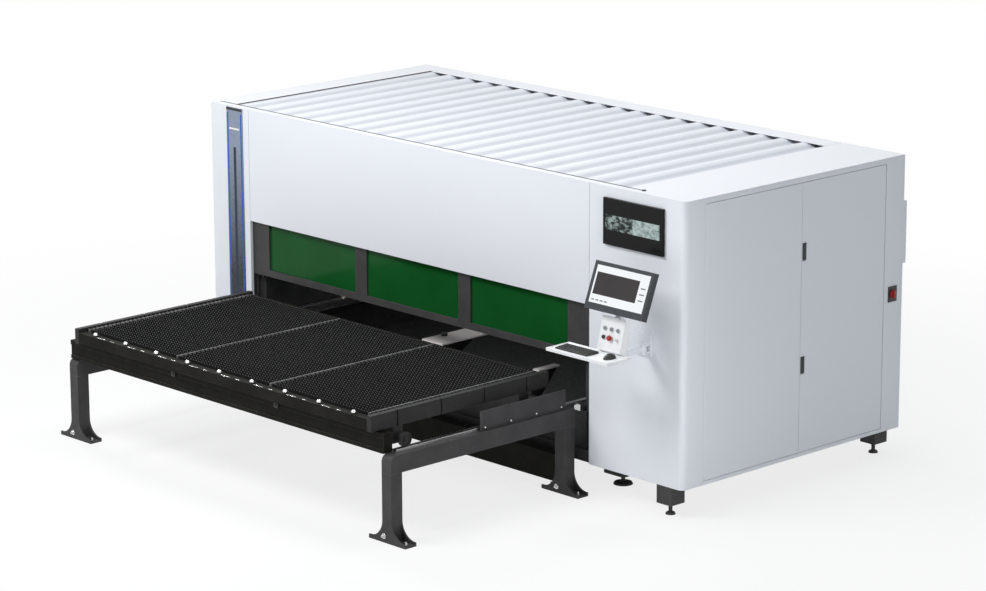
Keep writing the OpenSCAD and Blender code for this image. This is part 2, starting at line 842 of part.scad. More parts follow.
// Lift door
module lift_door() color(dark)
    difference() {
        block([door_left, lift_door_y, lift_door_z],
              [door_right, lift_door_y + lift_door_t, lift_door_z + lift_door_h]);
        for (i = [-1:1])
            translate([table_x + i * (window_w + mullion_w) - window_w / 2, lift_door_y - 1,
                       lift_door_z + door_rail_h])
                cube([window_w, lift_door_t + 2, lift_door_h - 2 * door_rail_h]);
    }

module lift_door_windows() color(glass_green)
    for (i = [-1:1])
        translate([table_x + i * (window_w + mullion_w) - window_w / 2,
                   lift_door_y + (lift_door_t - pane_t) / 2, lift_door_z + door_rail_h])
            cube([window_w, pane_t, lift_door_h - 2 * door_rail_h]);

module door_guide() difference() {
    block([-guide_w, inner_front, plate_top], [12, inner_front + guide_d, door_guide_top]);
    block([-slide_gap, lift_door_y - slide_gap, plate_top - 1],
          [13, lift_door_y + lift_door_t + slide_gap, door_guide_top + 1]);
}

module door_guides() color(dark) {
    translate([door_left, 0, 0]) door_guide();
    translate([door_right, 0, 0]) mirror([1, 0, 0]) door_guide();
}

// Equipment bay
module partition_wall() color([0.80, 0.81, 0.82]) {
    block([partition_x, inner_front + rail_tube, rail_z],
          [partition_x + partition_t, inner_rear, lid_z - wave_h - 3 * partition_t]);
    intersection() {
        translate([0, 0, rail_z]) linear_extrude(partition_t) inside_plan();
        block([partition_x, inner_front, rail_z], [right, inner_rear, rail_z + partition_t]);
    }
}

module mounting_plate() color([0.86, 0.86, 0.84]) {
    wall_x = partition_x + partition_t;
    block([wall_x, plate_y[0], plate_z[0]], [wall_x + bay_gap, plate_y[1], plate_z[1]]);
    for (row = [0:device_rows - 1])
        for (i = [0:device_columns - 1])
            translate([wall_x + bay_gap,
                       plate_y[0] + plate_margin + (i + 0.5 - device_fill / 2) * device_pitch,
                       device_z + row * device_row_pitch])
                cube([device_d, device_pitch * device_fill, device_h]);
}

module laser_source() color([0.33, 0.34, 0.36])
    difference() {
        block([source_x[0], source_y[0], rail_z + partition_t],
              [source_x[1], source_y[1], rail_z + source_h]);
        for (i = [0:fin_count - 1])
            translate([source_x[1] - fin_d, source_y[0] + source_margin,
                       rail_z + source_margin + i * fin_pitch])
                cube([fin_d + 1, source_y[1] - source_y[0] - 2 * source_margin, fin_h]);
    }

// Exchange frame
module foot_gusset()
    difference() {
        translate([-sole_l / 2, 0]) square([sole_l, gusset_h]);
        for (side = [-1, 1])
            translate([side * (leg_w / 2 + gusset_r), gusset_h]) circle(gusset_r);
    }

// Leg with its flared foot, its front face at y = 0
module frame_leg() {
    difference() {
        block([-sole_l / 2, 0, 0], [sole_l / 2, leg_d, sole_t]);
        for (side = [-1, 1])
            translate([side * anchor_pitch / 2, leg_d / 2, -1]) cylinder(h = sole_t + 2, r = anchor_r);
    }
    block([-leg_w / 2, 0, sole_t], [leg_w / 2, leg_d, beam_z]);
    for (y = [0, leg_d - sole_t])
        translate([0, 0, sole_t]) along_y(y, y + sole_t) foot_gusset();
}

module frame_legs() color(dark)
    both_sides() for (y = [frame_front, frame_back - leg_d])
        translate([frame_gauge / 2, y, 0]) frame_leg();

module frame_side_beams() color(dark)
    both_sides() along_x((frame_gauge - leg_w) / 2, (frame_gauge + leg_w) / 2) {
        translate([frame_front + beam_corner_r, beam_z])
            square([frame_back - frame_front - beam_corner_r, beam_h]);
        translate([frame_front, beam_z]) square([beam_corner_r, beam_h - beam_corner_r]);
        translate([frame_front + beam_corner_r, beam_top - beam_corner_r]) circle(beam_corner_r);
    }

module frame_cross_beams() color(black) {
    along_x(table_x - frame_gauge / 2 - front_beam_left,
            table_x + frame_gauge / 2 - front_beam_right) difference() {
        translate([frame_front + front_beam_inset, beam_top]) square([front_beam_d, front_beam_h]);
        translate([frame_front, beam_top + 26]) square([front_beam_inset + 6, front_beam_h - 60]);
    }
    block([table_x - (frame_gauge - leg_w) / 2, frame_back - leg_d + brace_inset, brace_z],
          [table_x + (frame_gauge - leg_w) / 2, frame_back - brace_inset, brace_z + brace_h]);
}

module chain_guards() color(dark)
    both_sides() translate([frame_gauge / 2 + guard_offset, frame_back - guard_inset - guard_l, beam_top])
        cube([guard_t, guard_l, pallet_z - guard_t - beam_top]);

module pallet_rails() color(steel)
    both_sides() {
        block([wheel_offset - track_w / 2, frame_front + front_beam_inset + front_beam_d + 4, beam_top],
              [wheel_offset + track_w / 2, bed_back, beam_top + track_h]);
        block([wheel_offset - track_w / 2, inner_front + 10, beam_top - ledge_h],
              [wall_inner, bed_back, beam_top]);
    }

// Pallet
module wheel_mount(y) {
    block([pallet_w / 2 - 12, y - 45, wheel_z - 40], [pallet_w / 2, y + 45, pallet_z]);
    translate([pallet_w / 2 - 6, y, wheel_z]) rotate([0, 90, 0])
        cylinder(h = 6 + wheel_reach + wheel_w / 2 + 4, r = axle_r);
}

module pallet_side_tubes() color(dark)
    both_sides() {
        difference() {
            block([pallet_w / 2 - pallet_side_t, pallet_front, pallet_z],
                  [pallet_w / 2, pallet_back, slat_top_z]);
            for (i = [0:3])
                translate([pallet_w / 2 - side_gap_d, pallet_front + side_gap_y + side_gap_pitch * i,
                           pallet_z - 1])
                    cube([side_gap_d + 1, side_gap_w, pallet_side_h + 2]);
        }
        for (y = wheel_y) wheel_mount(y);
    }

module pallet_end_bars() color(black) {
    difference() {
        block([pallet_left + pallet_side_t, pallet_front, end_bar_z],
              [pallet_right - pallet_side_t, pallet_front + end_bar_d, end_bar_top]);
        ball_places(end_bar_top - ball_sink) cylinder(h = ball_sink + 1, r = ball_r + roll_gap);
    }
    ball_places(end_bar_top) difference() {
        cylinder(h = 6, r = ball_r + 9);
        translate([0, 0, -1]) cylinder(h = 8, r = ball_r + roll_gap);
    }
    block([pallet_left + pallet_side_t, pallet_back - end_bar_d, end_bar_z],
          [pallet_right - pallet_side_t, pallet_back, end_bar_top]);
}

module ball_places(z)
    for (i = [0:ball_count - 1])
        translate([table_x + ball_pitch * (i - (ball_count - 1) / 2), pallet_front + end_bar_d / 2, z])
            children();

module transfer_balls() color(steel)
    ball_places(end_bar_top - ball_sink + ball_r) sphere(ball_r);

// Outline of a slat along x and z, with its pointed teeth on top
module slat_outline() {
    tooth = slat_l / tooth_count;
    polygon(concat(
        [[slat_l, 0], [0, 0], [0, slat_h - tooth_h]],
        [for (i = [0:tooth_count - 1], p = [[0.5, slat_h], [1, slat_h - tooth_h]])
            [(i + p[0]) * tooth, p[1]]]));
}

module slats() color(black)
    for (i = [0:slat_count - 1])
        translate([table_x - slat_l / 2, slat_y(i), slat_z])
            along_y(-slat_t / 2, slat_t / 2) slat_outline();

function slat_y(i) = pallet_front + end_bar_d + slat_pitch * (i + 0.5);

module pallet_combs() color(black)
    for (x = comb_x)
        translate([x - comb_t / 2, 0, 0]) difference() {
            block([0, pallet_front + end_bar_d, comb_z],
                  [comb_t, pallet_back - end_bar_d, slat_top_z - comb_tip_drop]);
            for (i = [0:slat_count - 1])
                block([-1, slat_y(i) - slat_t / 2 - roll_gap, slat_z],
                      [comb_t + 1, slat_y(i) + slat_t / 2 + roll_gap, slat_top_z]);
        }

module pallet_wheel(side, y) color(dark)
    translate([table_x + side * wheel_offset, y, wheel_z]) rotate([0, 90, 0]) difference() {
        cylinder(h = wheel_w, r = wheel_r, center = true);
        cylinder(h = wheel_w + 2, r = axle_r + run_gap, center = true);
        for (face = [-1, 1])
            translate([0, 0, face * wheel_w / 2]) difference() {
                cylinder(h = 10, r = wheel_r - 10, center = true);
                cylinder(h = 12, r = axle_r + 10, center = true);
            }
    }

module wheel_front_left() pallet_wheel(-1, wheel_y[0]);
module wheel_front_right() pallet_wheel(1, wheel_y[0]);
module wheel_rear_left() pallet_wheel(-1, wheel_y[1]);
module wheel_rear_right() pallet_wheel(1, wheel_y[1]);

// Console
module console_bracket() color(white) {
    block([arm_x - 100, -12, arm_z - 60], [arm_x + 35, 0, arm_z + 100]);
    for (z = [arm_z - arm_tube / 2 - ear_t - slide_gap, arm_z + arm_tube / 2 + slide_gap])
        translate([arm_x, swing_y, z]) {
            cylinder(h = ear_t, r = swing_r);
            block([-swing_r, 0, 0], [swing_r, -swing_y - 11, ear_t]);
        }
    translate([arm_x, swing_y, arm_z - arm_tube / 2 - 2]) cylinder(h = arm_tube + 4, r = swing_pin_r);
}

module console_arm() color(white) {
    difference() {
        union() {
            translate([arm_x, swing_y, arm_z - arm_tube / 2]) cylinder(h = arm_tube, r = swing_r);
            block([arm_x - arm_tube / 2, arm_end_y, arm_z - arm_tube / 2],
                  [arm_x + arm_tube / 2, swing_y, arm_z + arm_tube / 2]);
        }
        translate([arm_x, swing_y, arm_z - arm_tube]) cylinder(h = 2 * arm_tube, r = swing_pin_r + run_gap);
    }
    block([arm_x - arm_tube / 2, mast_y - arm_tube / 2, arm_z + arm_tube / 2 - 1],
          [arm_x + arm_tube / 2, mast_y + arm_tube / 2, tilt_z - tilt_r - tilt_wall + 1]);
    difference() {
        union() {
            translate([arm_x - arm_tube / 2, mast_y, tilt_z]) rotate([0, 90, 0])
                cylinder(h = arm_tube, r = tilt_r + tilt_wall);
            block([arm_x - arm_tube / 2, mast_y - tilt_r - tilt_wall, tilt_z - tilt_r - tilt_wall],
                  [arm_x + arm_tube / 2, mast_y + tilt_r + tilt_wall, tilt_z]);
        }
        translate([arm_x - arm_tube, mast_y, tilt_z]) rotate([0, 90, 0])
            cylinder(h = 2 * arm_tube, r = tilt_r + run_gap);
    }
}

// Frame of the button box, whose face looks along local -Y
module in_button_box()
    translate([box_x, box_y, box_z]) rotate([-button_slope, 0, 0]) children();

// Place on the button box's face, with local Z pointing out of it
module on_face(column, row)
    in_button_box() translate([column * button_pitch, -button_box_d / 2, row])
        rotate([90, 0, 0]) children();

module button_bezel() difference() {
    cylinder(h = 4, r = button_r + 4);
    translate([0, 0, -1]) cylinder(h = 6, r = button_r + slide_gap);
}

module button_box() color(white) {
    difference() {
        union() {
            in_button_box() translate([-button_box_w / 2, -button_box_d / 2, -button_box_h / 2])
                cube([button_box_w, button_box_d, button_box_h]);
            block([arm_x - 32, box_y, box_z - 30], [arm_x + 32, mast_y - arm_tube / 2, box_z + 30]);
        }
        for (c = [-1:1]) on_face(c, upper_row) button_bore(button_stem_r);
        on_face(-1, lower_row) button_bore(button_stem_r);
        on_face(0, lower_row) button_bore(button_stem_r);
        on_face(1, lower_row) button_bore(key_stem_r);
    }
    for (c = [-1:1]) on_face(c, upper_row) button_bezel();
    on_face(-1, lower_row) button_bezel();
}

module button_bore(r) translate([0, 0, -30]) cylinder(h = 31, r = r + run_gap);

module push_button(column, row) on_face(column, row) {
    translate([0, 0, -24]) cylinder(h = 30, r = button_stem_r);
    translate([0, 0, 5]) cylinder(h = 7, r = button_r);
}

module push_button_left() color([0.45, 0.47, 0.47]) push_button(-1, upper_row);
module push_button_middle() color([0.45, 0.47, 0.47]) push_button(0, upper_row);
module push_button_right() color([0.45, 0.47, 0.47]) push_button(1, upper_row);
module start_button() color(black) push_button(-1, lower_row);

module emergency_stop() color([0.80, 0.07, 0.06]) on_face(0, lower_row) {
    translate([0, 0, -24]) cylinder(h = 34, r = button_stem_r);
    translate([0, 0, 8]) rotate_extrude()
        polygon([[0, 0], [stop_r - 4, 0], [stop_r, 4], [stop_r, 12], [stop_r - 5, 17], [0, 19]]);
}

module key_switch() color(steel) on_face(1, lower_row) {
    translate([0, 0, -24]) cylinder(h = 25, r = key_stem_r);
    translate([0, 0, slide_gap]) cylinder(h = 9, r = 12);
    translate([-2, -9, 9]) cube([4, 18, 16]);
}

module keyboard_tray() color(white)
    difference() {
        block([tray_x, tray_y, tray_z - tray_t], [tray_x + tray_w, tray_y + tray_d, tray_z]);
        block([tray_x + 8, tray_y + 8, tray_z - 3], [tray_x + tray_w - 8, tray_y + tray_d - 8, tray_z + 1]);
    }

module keyboard_and_mouse() color(black) {
    difference() {
        translate([keyboard_x, keyboard_y, tray_z - 3]) along_x(0, keyboard_w)
            polygon([[0, 0], [keyboard_d, 0], [keyboard_d, 20], [0, 12]]);
        for (row = [0:4])
            translate([keyboard_x + 6, keyboard_y + 6 + row * key_pitch, tray_z + 10])
                cube([keyboard_w - 12, 2, 12]);
    }
    translate([tray_x + tray_w - 90, tray_y + tray_d / 2, tray_z - 3]) intersection() {
        translate([0, 0, -12]) sphere(44);
        block([-32, -44, 0], [32, 44, 40]);
    }
}

module monitor() color([0.29, 0.31, 0.33]) {
    translate([monitor_x, monitor_y, monitor_z]) rotate([-monitor_slope, 0, 0]) difference() {
        translate([-monitor_w / 2, -monitor_t / 2, -monitor_h / 2]) cube([monitor_w, monitor_t, monitor_h]);
        translate([-monitor_w / 2 + bezel, -monitor_t / 2 - 1, -monitor_h / 2 + monitor_chin])
            cube([monitor_w - 2 * bezel, 4, monitor_h - bezel - monitor_chin]);
    }
    for (side = [-1, 1])
        translate([arm_x + side * (arm_tube / 2 + slide_gap + ear_t / 2), 0, 0])
            along_x(-ear_t / 2, ear_t / 2) {
                translate([mast_y, tilt_z]) circle(tilt_r + 7);
                polygon([[mast_y + 6, tilt_z + tilt_r + 6], [mast_y + 6, tilt_z - tilt_r - 6],
                         [monitor_y - 5, monitor_z - 50], [monitor_y + 10, monitor_z + 20]]);
            }
    translate([arm_x - arm_tube / 2 - 2, mast_y, tilt_z]) rotate([0, 90, 0])
        cylinder(h = arm_tube + 4, r = tilt_r);
}

// Moves the layout so that the origin is the middle of the footprint
module place() translate([-origin_x, -origin_y, 0]) children();

place() base_frame();
place() levelling_feet();
place() left_column();
place() front_hood();
place() front_right_panel();
place() left_side_panel();
place() rear_panel();
place() side_frame();
place() roof_panel();
place() roof_covers();
place() door_pivots();
place() side_door_front();
place() side_door_rear();
place() door_handle_upper();
place() door_handle_lower();
place() main_switch_plate();
place() main_switch_knob();
place() cabinet_cooler();
place() light_strip();
place() wide_display();
place() bed_side_walls();
place() bed_end_plates();
place() scrap_tray();
place() gantry_tracks();
place() gantry_beam();
place() head_carriage();
place() cutting_head();
place() infeed_plates();
place() lift_door();
place() lift_door_windows();
place() door_guides();
place() partition_wall();
place() mounting_plate();
place() laser_source();
place() frame_legs();
place() frame_side_beams();
place() frame_cross_beams();
place() chain_guards();
place() pallet_rails();
place() pallet_side_tubes();
place() pallet_end_bars();
place() pallet_combs();
place() slats();
place() transfer_balls();
place() wheel_front_left();
place() wheel_front_right();
place() wheel_rear_left();
place() wheel_rear_right();
place() console_bracket();
place() console_arm();
place() button_box();
place() keyboard_tray();
place() keyboard_and_mouse();
place() monitor();
place() push_button_left();
place() push_button_middle();
place() push_button_right();
place() start_button();
place() emergency_stop();
place() key_switch();
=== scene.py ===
"""Looks of a fiber laser cutting machine with a front exchange table.

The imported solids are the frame. This script gives every surface its finish, and adds the pieces
that the solids leave out: the slats' fine teeth, the screens, the keys, the fasteners and the trim.
Lengths are in metres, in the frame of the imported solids.
"""

import math

import bmesh
import bpy
from mathutils import Matrix, Vector


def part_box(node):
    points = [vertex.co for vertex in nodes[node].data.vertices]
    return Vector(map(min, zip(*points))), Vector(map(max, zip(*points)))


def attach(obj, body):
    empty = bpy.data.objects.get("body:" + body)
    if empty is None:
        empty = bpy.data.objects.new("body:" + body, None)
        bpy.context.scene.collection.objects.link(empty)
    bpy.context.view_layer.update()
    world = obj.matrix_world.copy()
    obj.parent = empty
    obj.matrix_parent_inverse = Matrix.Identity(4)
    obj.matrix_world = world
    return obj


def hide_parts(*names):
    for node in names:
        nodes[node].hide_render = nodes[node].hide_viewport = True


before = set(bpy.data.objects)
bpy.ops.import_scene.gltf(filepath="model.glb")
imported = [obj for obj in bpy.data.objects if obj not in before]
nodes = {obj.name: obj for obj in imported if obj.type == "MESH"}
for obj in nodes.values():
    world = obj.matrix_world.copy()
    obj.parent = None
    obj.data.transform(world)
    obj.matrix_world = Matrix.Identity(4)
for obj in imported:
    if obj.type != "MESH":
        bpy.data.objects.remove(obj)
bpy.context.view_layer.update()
scene = bpy.context.scene

# Camera, as the photograph was taken
CAMERA_PLACE = (17.898, -16.5915, 7.166)
CAMERA_YAW = math.radians(46.602)
CAMERA_PITCH = math.radians(-14.003)
CAMERA_ROLL = math.radians(-0.2065)
LENS = 127.26
SENSOR = 36.0

# Studio
AMBIENT = 0.30
AMBIENT_TONE = (0.88, 0.94, 1, 1)
FLOOR_SIZE = 120.0
FLOOR_TONE = (0.90, 0.90, 0.91, 1)
FADE_START = 3.0
FADE_END = 7.5
FADE_NEAR = 0.78
WHITE = (1, 1, 1, 1)

# Slope of the console's monitor
MONITOR_SLOPE = math.radians(-21)

# Slats
SLAT_COUNT = 40
SLAT_THICKNESS = 0.003
TOOTH_PITCH = 0.030
TOOTH_DEPTH = 0.014

# Heights between which the light strip turns from dark to pale
STRIP_DARK_Z = 0.9
STRIP_PALE_Z = 1.9

# Infeed plates
KNOB_HEIGHT = 0.020
INFEED_THICKNESS = 0.010

# Joints between cover sheets
REAR_JOINTS = 5
REAR_JOINT_INSET = 0.83
JOINT_WIDTH = 0.005

# Fasteners and edges
SCREW_R = 0.006
EDGE_SOFT = 0.003

# Sockets of a Mix node that mixes colours
MIX_FIRST = 6
MIX_SECOND = 7
MIX_RESULT = 2

# Place, aim, size and power of each lamp
LAMPS = {
    "key_lamp": ((-0.8, -4.6, 6.0), (-0.2, 0, 1.8), (3, 2.5), 318),
    "roof_lamp": ((1.8, 0.8, 8), (1.4, 0.8, 2.2), (3, 2), 125),
    "slant_lamp": ((-13, 1.5, 11), (0, 0.8, 2.2), (3, 3), 750),
    "side_lamp": ((13, -3.5, 2), (2.4, 0.6, 1.2), (4, 3), 205),
    "corner_lamp": ((2.75, -0.55, 1.25), (2.463, -0.249, 1.25), (0.03, 1.9), 1.12),
    "fill_lamp": ((1, -11, 1.4), (0, 0, 0.8), (4, 2), 45),
    "cabin_lamp": ((-0.25, 0.9, 2.0), (-0.25, 0.9, 0), (3, 1), 10),
}


# Materials

def link(tree, out_node, out_name, in_node, in_name):
    tree.links.new(out_node.outputs[out_name], in_node.inputs[in_name])


def new_finish(name, tone, roughness, metallic=0.0, specular=0.5):
    """A material with a Principled shader, and its tree and shader."""
    finish = bpy.data.materials.new(name)
    finish.use_nodes = True
    tree = finish.node_tree
    shader = tree.nodes["Principled BSDF"]
    shader.inputs["Base Color"].default_value = (*tone, 1)
    shader.inputs["Roughness"].default_value = roughness
    shader.inputs["Metallic"].default_value = metallic
    shader.inputs["Specular IOR Level"].default_value = specular
    return finish, tree, shader


def surface_noise(tree, scale, detail=4.0, stretch=(1, 1, 1)):
    """Noise over the piece's own coordinates, drawn out along the axes with a small stretch."""
    place = tree.nodes.new("ShaderNodeTexCoord")
    mapping = tree.nodes.new("ShaderNodeMapping")
    mapping.inputs["Scale"].default_value = stretch
    noise = tree.nodes.new("ShaderNodeTexNoise")
    noise.inputs["Scale"].default_value = scale
    noise.inputs["Detail"].default_value = detail
    link(tree, place, "Object", mapping, "Vector")
    link(tree, mapping, "Vector", noise, "Vector")
    return noise


def tone_range(tree, source, shader, socket, low, high, start=0.3, end=0.7):
    """Colours or greys from low to high over the source's range, into a shader's socket."""
    ramp = tree.nodes.new("ShaderNodeValToRGB")
    for stop, place, tone in zip(ramp.color_ramp.elements, (start, end), (low, high)):
        stop.position = place
        stop.color = (*tone, 1)
    link(tree, source, "Fac", ramp, "Fac")
    link(tree, ramp, "Color", shader, socket)
    return ramp


def height_share(tree, low_z, high_z):
    """0 below the first height of a piece, 1 above the second."""
    place = tree.nodes.new("ShaderNodeTexCoord")
    axes = tree.nodes.new("ShaderNodeSeparateXYZ")
    rise = tree.nodes.new("ShaderNodeMapRange")
    rise.inputs["From Min"].default_value = low_z
    rise.inputs["From Max"].default_value = high_z
    link(tree, place, "Object", axes, "Vector")
    link(tree, axes, "Z", rise, "Value")
    return rise


def tone_above(tree, shader, source, rise, tone):
    """The source's colour at the foot of a piece, and one tone where the rise is 1."""
    mix = tree.nodes.new("ShaderNodeMix")
    mix.data_type = "RGBA"
    mix.inputs[MIX_SECOND].default_value = (*tone, 1)
    link(tree, rise, "Result", mix, "Factor")
    tree.links.new(source, mix.inputs[MIX_FIRST])
    tree.links.new(mix.outputs[MIX_RESULT], shader.inputs["Base Color"])


def grey(level):
    return (level, level, level)


def rough_surface(tree, shader, source, strength, depth, edge=EDGE_SOFT):
    """Fine bumps from the source, on edges that are softened by the given radius."""
    bump = tree.nodes.new("ShaderNodeBump")
    bump.inputs["Strength"].default_value = strength
    bump.inputs["Distance"].default_value = depth
    link(tree, source, "Fac", bump, "Height")
    if edge:
        soft = tree.nodes.new("ShaderNodeBevel")
        soft.samples = 4
        soft.inputs["Radius"].default_value = edge
        link(tree, soft, "Normal", bump, "Normal")
    link(tree, bump, "Normal", shader, "Normal")


def worn_edges(tree, shader, paint, bare, noise, radius=0.004):
    """Bare metal along sharp edges, broken up by the noise."""
    flat = tree.nodes.new("ShaderNodeNewGeometry")
    soft = tree.nodes.new("ShaderNodeBevel")
    soft.samples = 4
    soft.inputs["Radius"].default_value = radius
    turn = tree.nodes.new("ShaderNodeVectorMath")
    turn.operation = "DOT_PRODUCT"
    link(tree, flat, "True Normal", turn, 0)
    link(tree, soft, "Normal", turn, 1)
    edge = tree.nodes.new("ShaderNodeMapRange")
    flat_turn, sharp_turn = 0.99, 0.82
    edge.inputs["From Min"].default_value = flat_turn
    edge.inputs["From Max"].default_value = sharp_turn
    link(tree, turn, "Value", edge, "Value")
    broken = tree.nodes.new("ShaderNodeMath")
    broken.operation = "MULTIPLY"
    link(tree, edge, "Result", broken, 0)
    link(tree, noise, "Fac", broken, 1)
    mix = tree.nodes.new("ShaderNodeMix")
    mix.data_type = "RGBA"
    mix.inputs[MIX_SECOND].default_value = (*bare, 1)
    link(tree, broken, "Value", mix, "Factor")
    ramp = tone_range(tree, noise, shader, "Base Color", *paint)
    tree.links.new(ramp.outputs["Color"], mix.inputs[MIX_FIRST])
    tree.links.new(mix.outputs[MIX_RESULT], shader.inputs["Base Color"])


def white_enamel():
    """Powder coat of the cabinet: cool white, with a faint orange peel."""
    finish, tree, shader = new_finish("white_enamel", (0.80, 0.81, 0.84), 0.32, specular=0.3)
    shader.inputs["Coat Weight"].default_value = 0.12
    shader.inputs["Coat Roughness"].default_value = 0.12
    drift = surface_noise(tree, 0.7, 1)
    tone_range(tree, drift, shader, "Base Color",
               (0.782, 0.803, 0.845), (0.806, 0.827, 0.868), 0.2, 0.8)
    tone_range(tree, surface_noise(tree, 3, 2), shader, "Roughness", grey(0.30), grey(0.36))
    rough_surface(tree, shader, surface_noise(tree, 420, 2), 0.10, 0.0006)
    return finish


def roof_enamel():
    """The cabinet's coat on the corrugated roof sheet, with painted shade in its valleys."""
    finish, tree, shader = new_finish("roof_enamel", (0.80, 0.81, 0.84), 0.34, specular=0.3)
    # Painted shade: a darker tone below the crests, rising to the coat's white at the crests.
    valley_shade = tone_range(tree, surface_noise(tree, 3, 3), shader, "Base Color",
                      (0.60, 0.625, 0.675), (0.64, 0.665, 0.715))
    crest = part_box("roof_panel")[1].z
    shaded_depth, unshaded_depth = 0.018, 0.008
    rise = height_share(tree, crest - shaded_depth, crest - unshaded_depth)
    tone_above(tree, shader, valley_shade.outputs["Color"], rise, (0.80, 0.82, 0.86))
    tone_range(tree, surface_noise(tree, 5, 2), shader, "Roughness", grey(0.32), grey(0.42))
    rough_surface(tree, shader, surface_noise(tree, 420, 2), 0.10, 0.0006)
    return finish


def frame_coat(name, tones, bare, specular=0.4):
    """Textured dark coat of the steelwork, rubbed thin along its edges."""
    finish, tree, shader = new_finish(name, tones[0], 0.5, specular=specular)
    cloud = surface_noise(tree, 7, 6)
    worn_edges(tree, shader, tones, bare, cloud)
    tone_range(tree, surface_noise(tree, 30), shader, "Roughness", grey(0.42), grey(0.60))
    rough_surface(tree, shader, surface_noise(tree, 650, 3), 0.25, 0.0008)
    return finish


def scorched_steel(name, tones, specular=0.3):
    """Mild steel darkened by cutting: soot, heat stains and a dull grain."""
    finish, tree, shader = new_finish(name, tones[0], 0.6, metallic=0.35, specular=specular)
    soot = surface_noise(tree, 14, 8, (0.4, 1, 1.6))
    tone_range(tree, soot, shader, "Base Color", *tones)
    tone_range(tree, surface_noise(tree, 60, 5), shader, "Roughness", grey(0.48), grey(0.74))
    rough_surface(tree, shader, surface_noise(tree, 240, 6), 0.35, 0.0008, edge=0)
    return finish


def highlit_slats():
    """Scorched steel whose tooth tips are painted bright, as a painted highlight."""
    finish, tree, shader = new_finish("slat_steel", grey(0.02), 0.6, metallic=0.35, specular=0.3)
    soot = surface_noise(tree, 14, 8, (0.4, 1, 1.6))
    dark = tone_range(tree, soot, shader, "Base Color",
                      (0.004, 0.0044, 0.0044), (0.012, 0.0125, 0.012))
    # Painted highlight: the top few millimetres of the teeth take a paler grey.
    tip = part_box("slats")[1].z
    dull_depth, bright_depth = 0.009, 0.002
    rise = height_share(tree, tip - dull_depth, tip - bright_depth)
    tone_above(tree, shader, dark.outputs["Color"], rise, grey(0.13))
    tone_range(tree, surface_noise(tree, 60, 5), shader, "Roughness", grey(0.48), grey(0.74))
    rough_surface(tree, shader, surface_noise(tree, 240, 6), 0.35, 0.0008, edge=0)
    return finish


def infeed_coat():
    """Pale coat on the infeed plates; the brackets under them are painted dark, as painted shade."""
    finish, tree, shader = new_finish("plate_pale", (0.70, 0.66, 0.64), 0.5, specular=0.3)
    cloud = surface_noise(tree, 7, 6)
    dark = tone_range(tree, cloud, shader, "Base Color", grey(0.016), grey(0.024))
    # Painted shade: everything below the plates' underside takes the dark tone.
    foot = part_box("infeed_plates")[1].z - KNOB_HEIGHT - INFEED_THICKNESS
    rise = height_share(tree, foot - 0.001, foot)
    tone_above(tree, shader, dark.outputs["Color"], rise, (0.72, 0.68, 0.66))
    tone_range(tree, surface_noise(tree, 30), shader, "Roughness", grey(0.42), grey(0.58))
    rough_surface(tree, shader, surface_noise(tree, 650, 3), 0.2, 0.0006)
    return finish


def brushed_metal(name, tones, roughness, grain, stretch):
    """Bare metal with a fine grain along one direction."""
    finish, tree, shader = new_finish(name, tones[0], roughness[0], metallic=1.0)
    lines = surface_noise(tree, grain, 3, stretch)
    tone_range(tree, lines, shader, "Base Color", *tones)
    tone_range(tree, lines, shader, "Roughness", grey(roughness[0]), grey(roughness[1]))
    rough_surface(tree, shader, lines, 0.08, 0.0004)
    return finish


def moulded_plastic(name, tones, roughness, grain=900.0, specular=0.5):
    """Moulded plastic with a fine spark-eroded grain."""
    finish, tree, shader = new_finish(name, tones[0], roughness, specular=specular)
    tone_range(tree, surface_noise(tree, 22), shader, "Base Color", *tones)
    tone_range(tree, surface_noise(tree, 70), shader, "Roughness",
               grey(roughness - 0.06), grey(roughness + 0.06))
    rough_surface(tree, shader, surface_noise(tree, grain, 2), 0.15, 0.0003, edge=0.0015)
    return finish


def filter_glass():
    """Green acrylic that stops the laser's light, a little see-through."""
    finish, tree, shader = new_finish("filter_glass", (0.006, 0.085, 0.015), 0.12, specular=0.06)
    shader.inputs["IOR"].default_value = 1.49
    shader.inputs["Transmission Weight"].default_value = 0.12
    haze = surface_noise(tree, 2.2, 3)
    tone_range(tree, haze, shader, "Base Color", (0.006, 0.086, 0.016), (0.009, 0.108, 0.022))
    tone_range(tree, surface_noise(tree, 11), shader, "Roughness", grey(0.08), grey(0.18))
    return finish


def strip_cover():
    """Smoked cover of the light strip, pale blue at its top and dark at its foot."""
    finish, tree, shader = new_finish("strip_cover", grey(0.05), 0.3, specular=0.3)
    rise = height_share(tree, STRIP_DARK_Z, STRIP_PALE_Z)
    ramp = tree.nodes.new("ShaderNodeValToRGB")
    tones = ((0.023, 0.025, 0.028), (0.24, 0.285, 0.375))
    for stop, tone in zip(ramp.color_ramp.elements, tones):
        stop.color = (*tone, 1)
    link(tree, rise, "Result", ramp, "Fac")
    link(tree, ramp, "Color", shader, "Base Color")
    tone_range(tree, surface_noise(tree, 50), shader, "Roughness", grey(0.24), grey(0.36))
    rough_surface(tree, shader, surface_noise(tree, 700, 2), 0.1, 0.0003, edge=0.0015)
    return finish


def lit_screen(name, tone, glow, streaks=0.04):
    """A lit field of a screen under glossy glass."""
    finish, tree, shader = new_finish(name, grey(0.006), 0.18, specular=0.12)
    shader.inputs["Emission Strength"].default_value = glow
    shade = surface_noise(tree, 5, 2)
    low = tuple(max(c - streaks, 0) for c in tone)
    tone_range(tree, shade, shader, "Emission Color", low, tone)
    tone_range(tree, surface_noise(tree, 40), shader, "Roughness", grey(0.14), grey(0.22))
    return finish


def mottled_screen(name, dark, pale, scale, start, end):
    """A lit field of dark and pale patches."""
    finish, tree, shader = new_finish(name, grey(0.006), 0.18, specular=0.12)
    shader.inputs["Emission Strength"].default_value = 0.75
    patches = surface_noise(tree, scale, 6, (1, 1, 1.5))
    tone_range(tree, patches, shader, "Emission Color", dark, pale, start, end)
    return finish


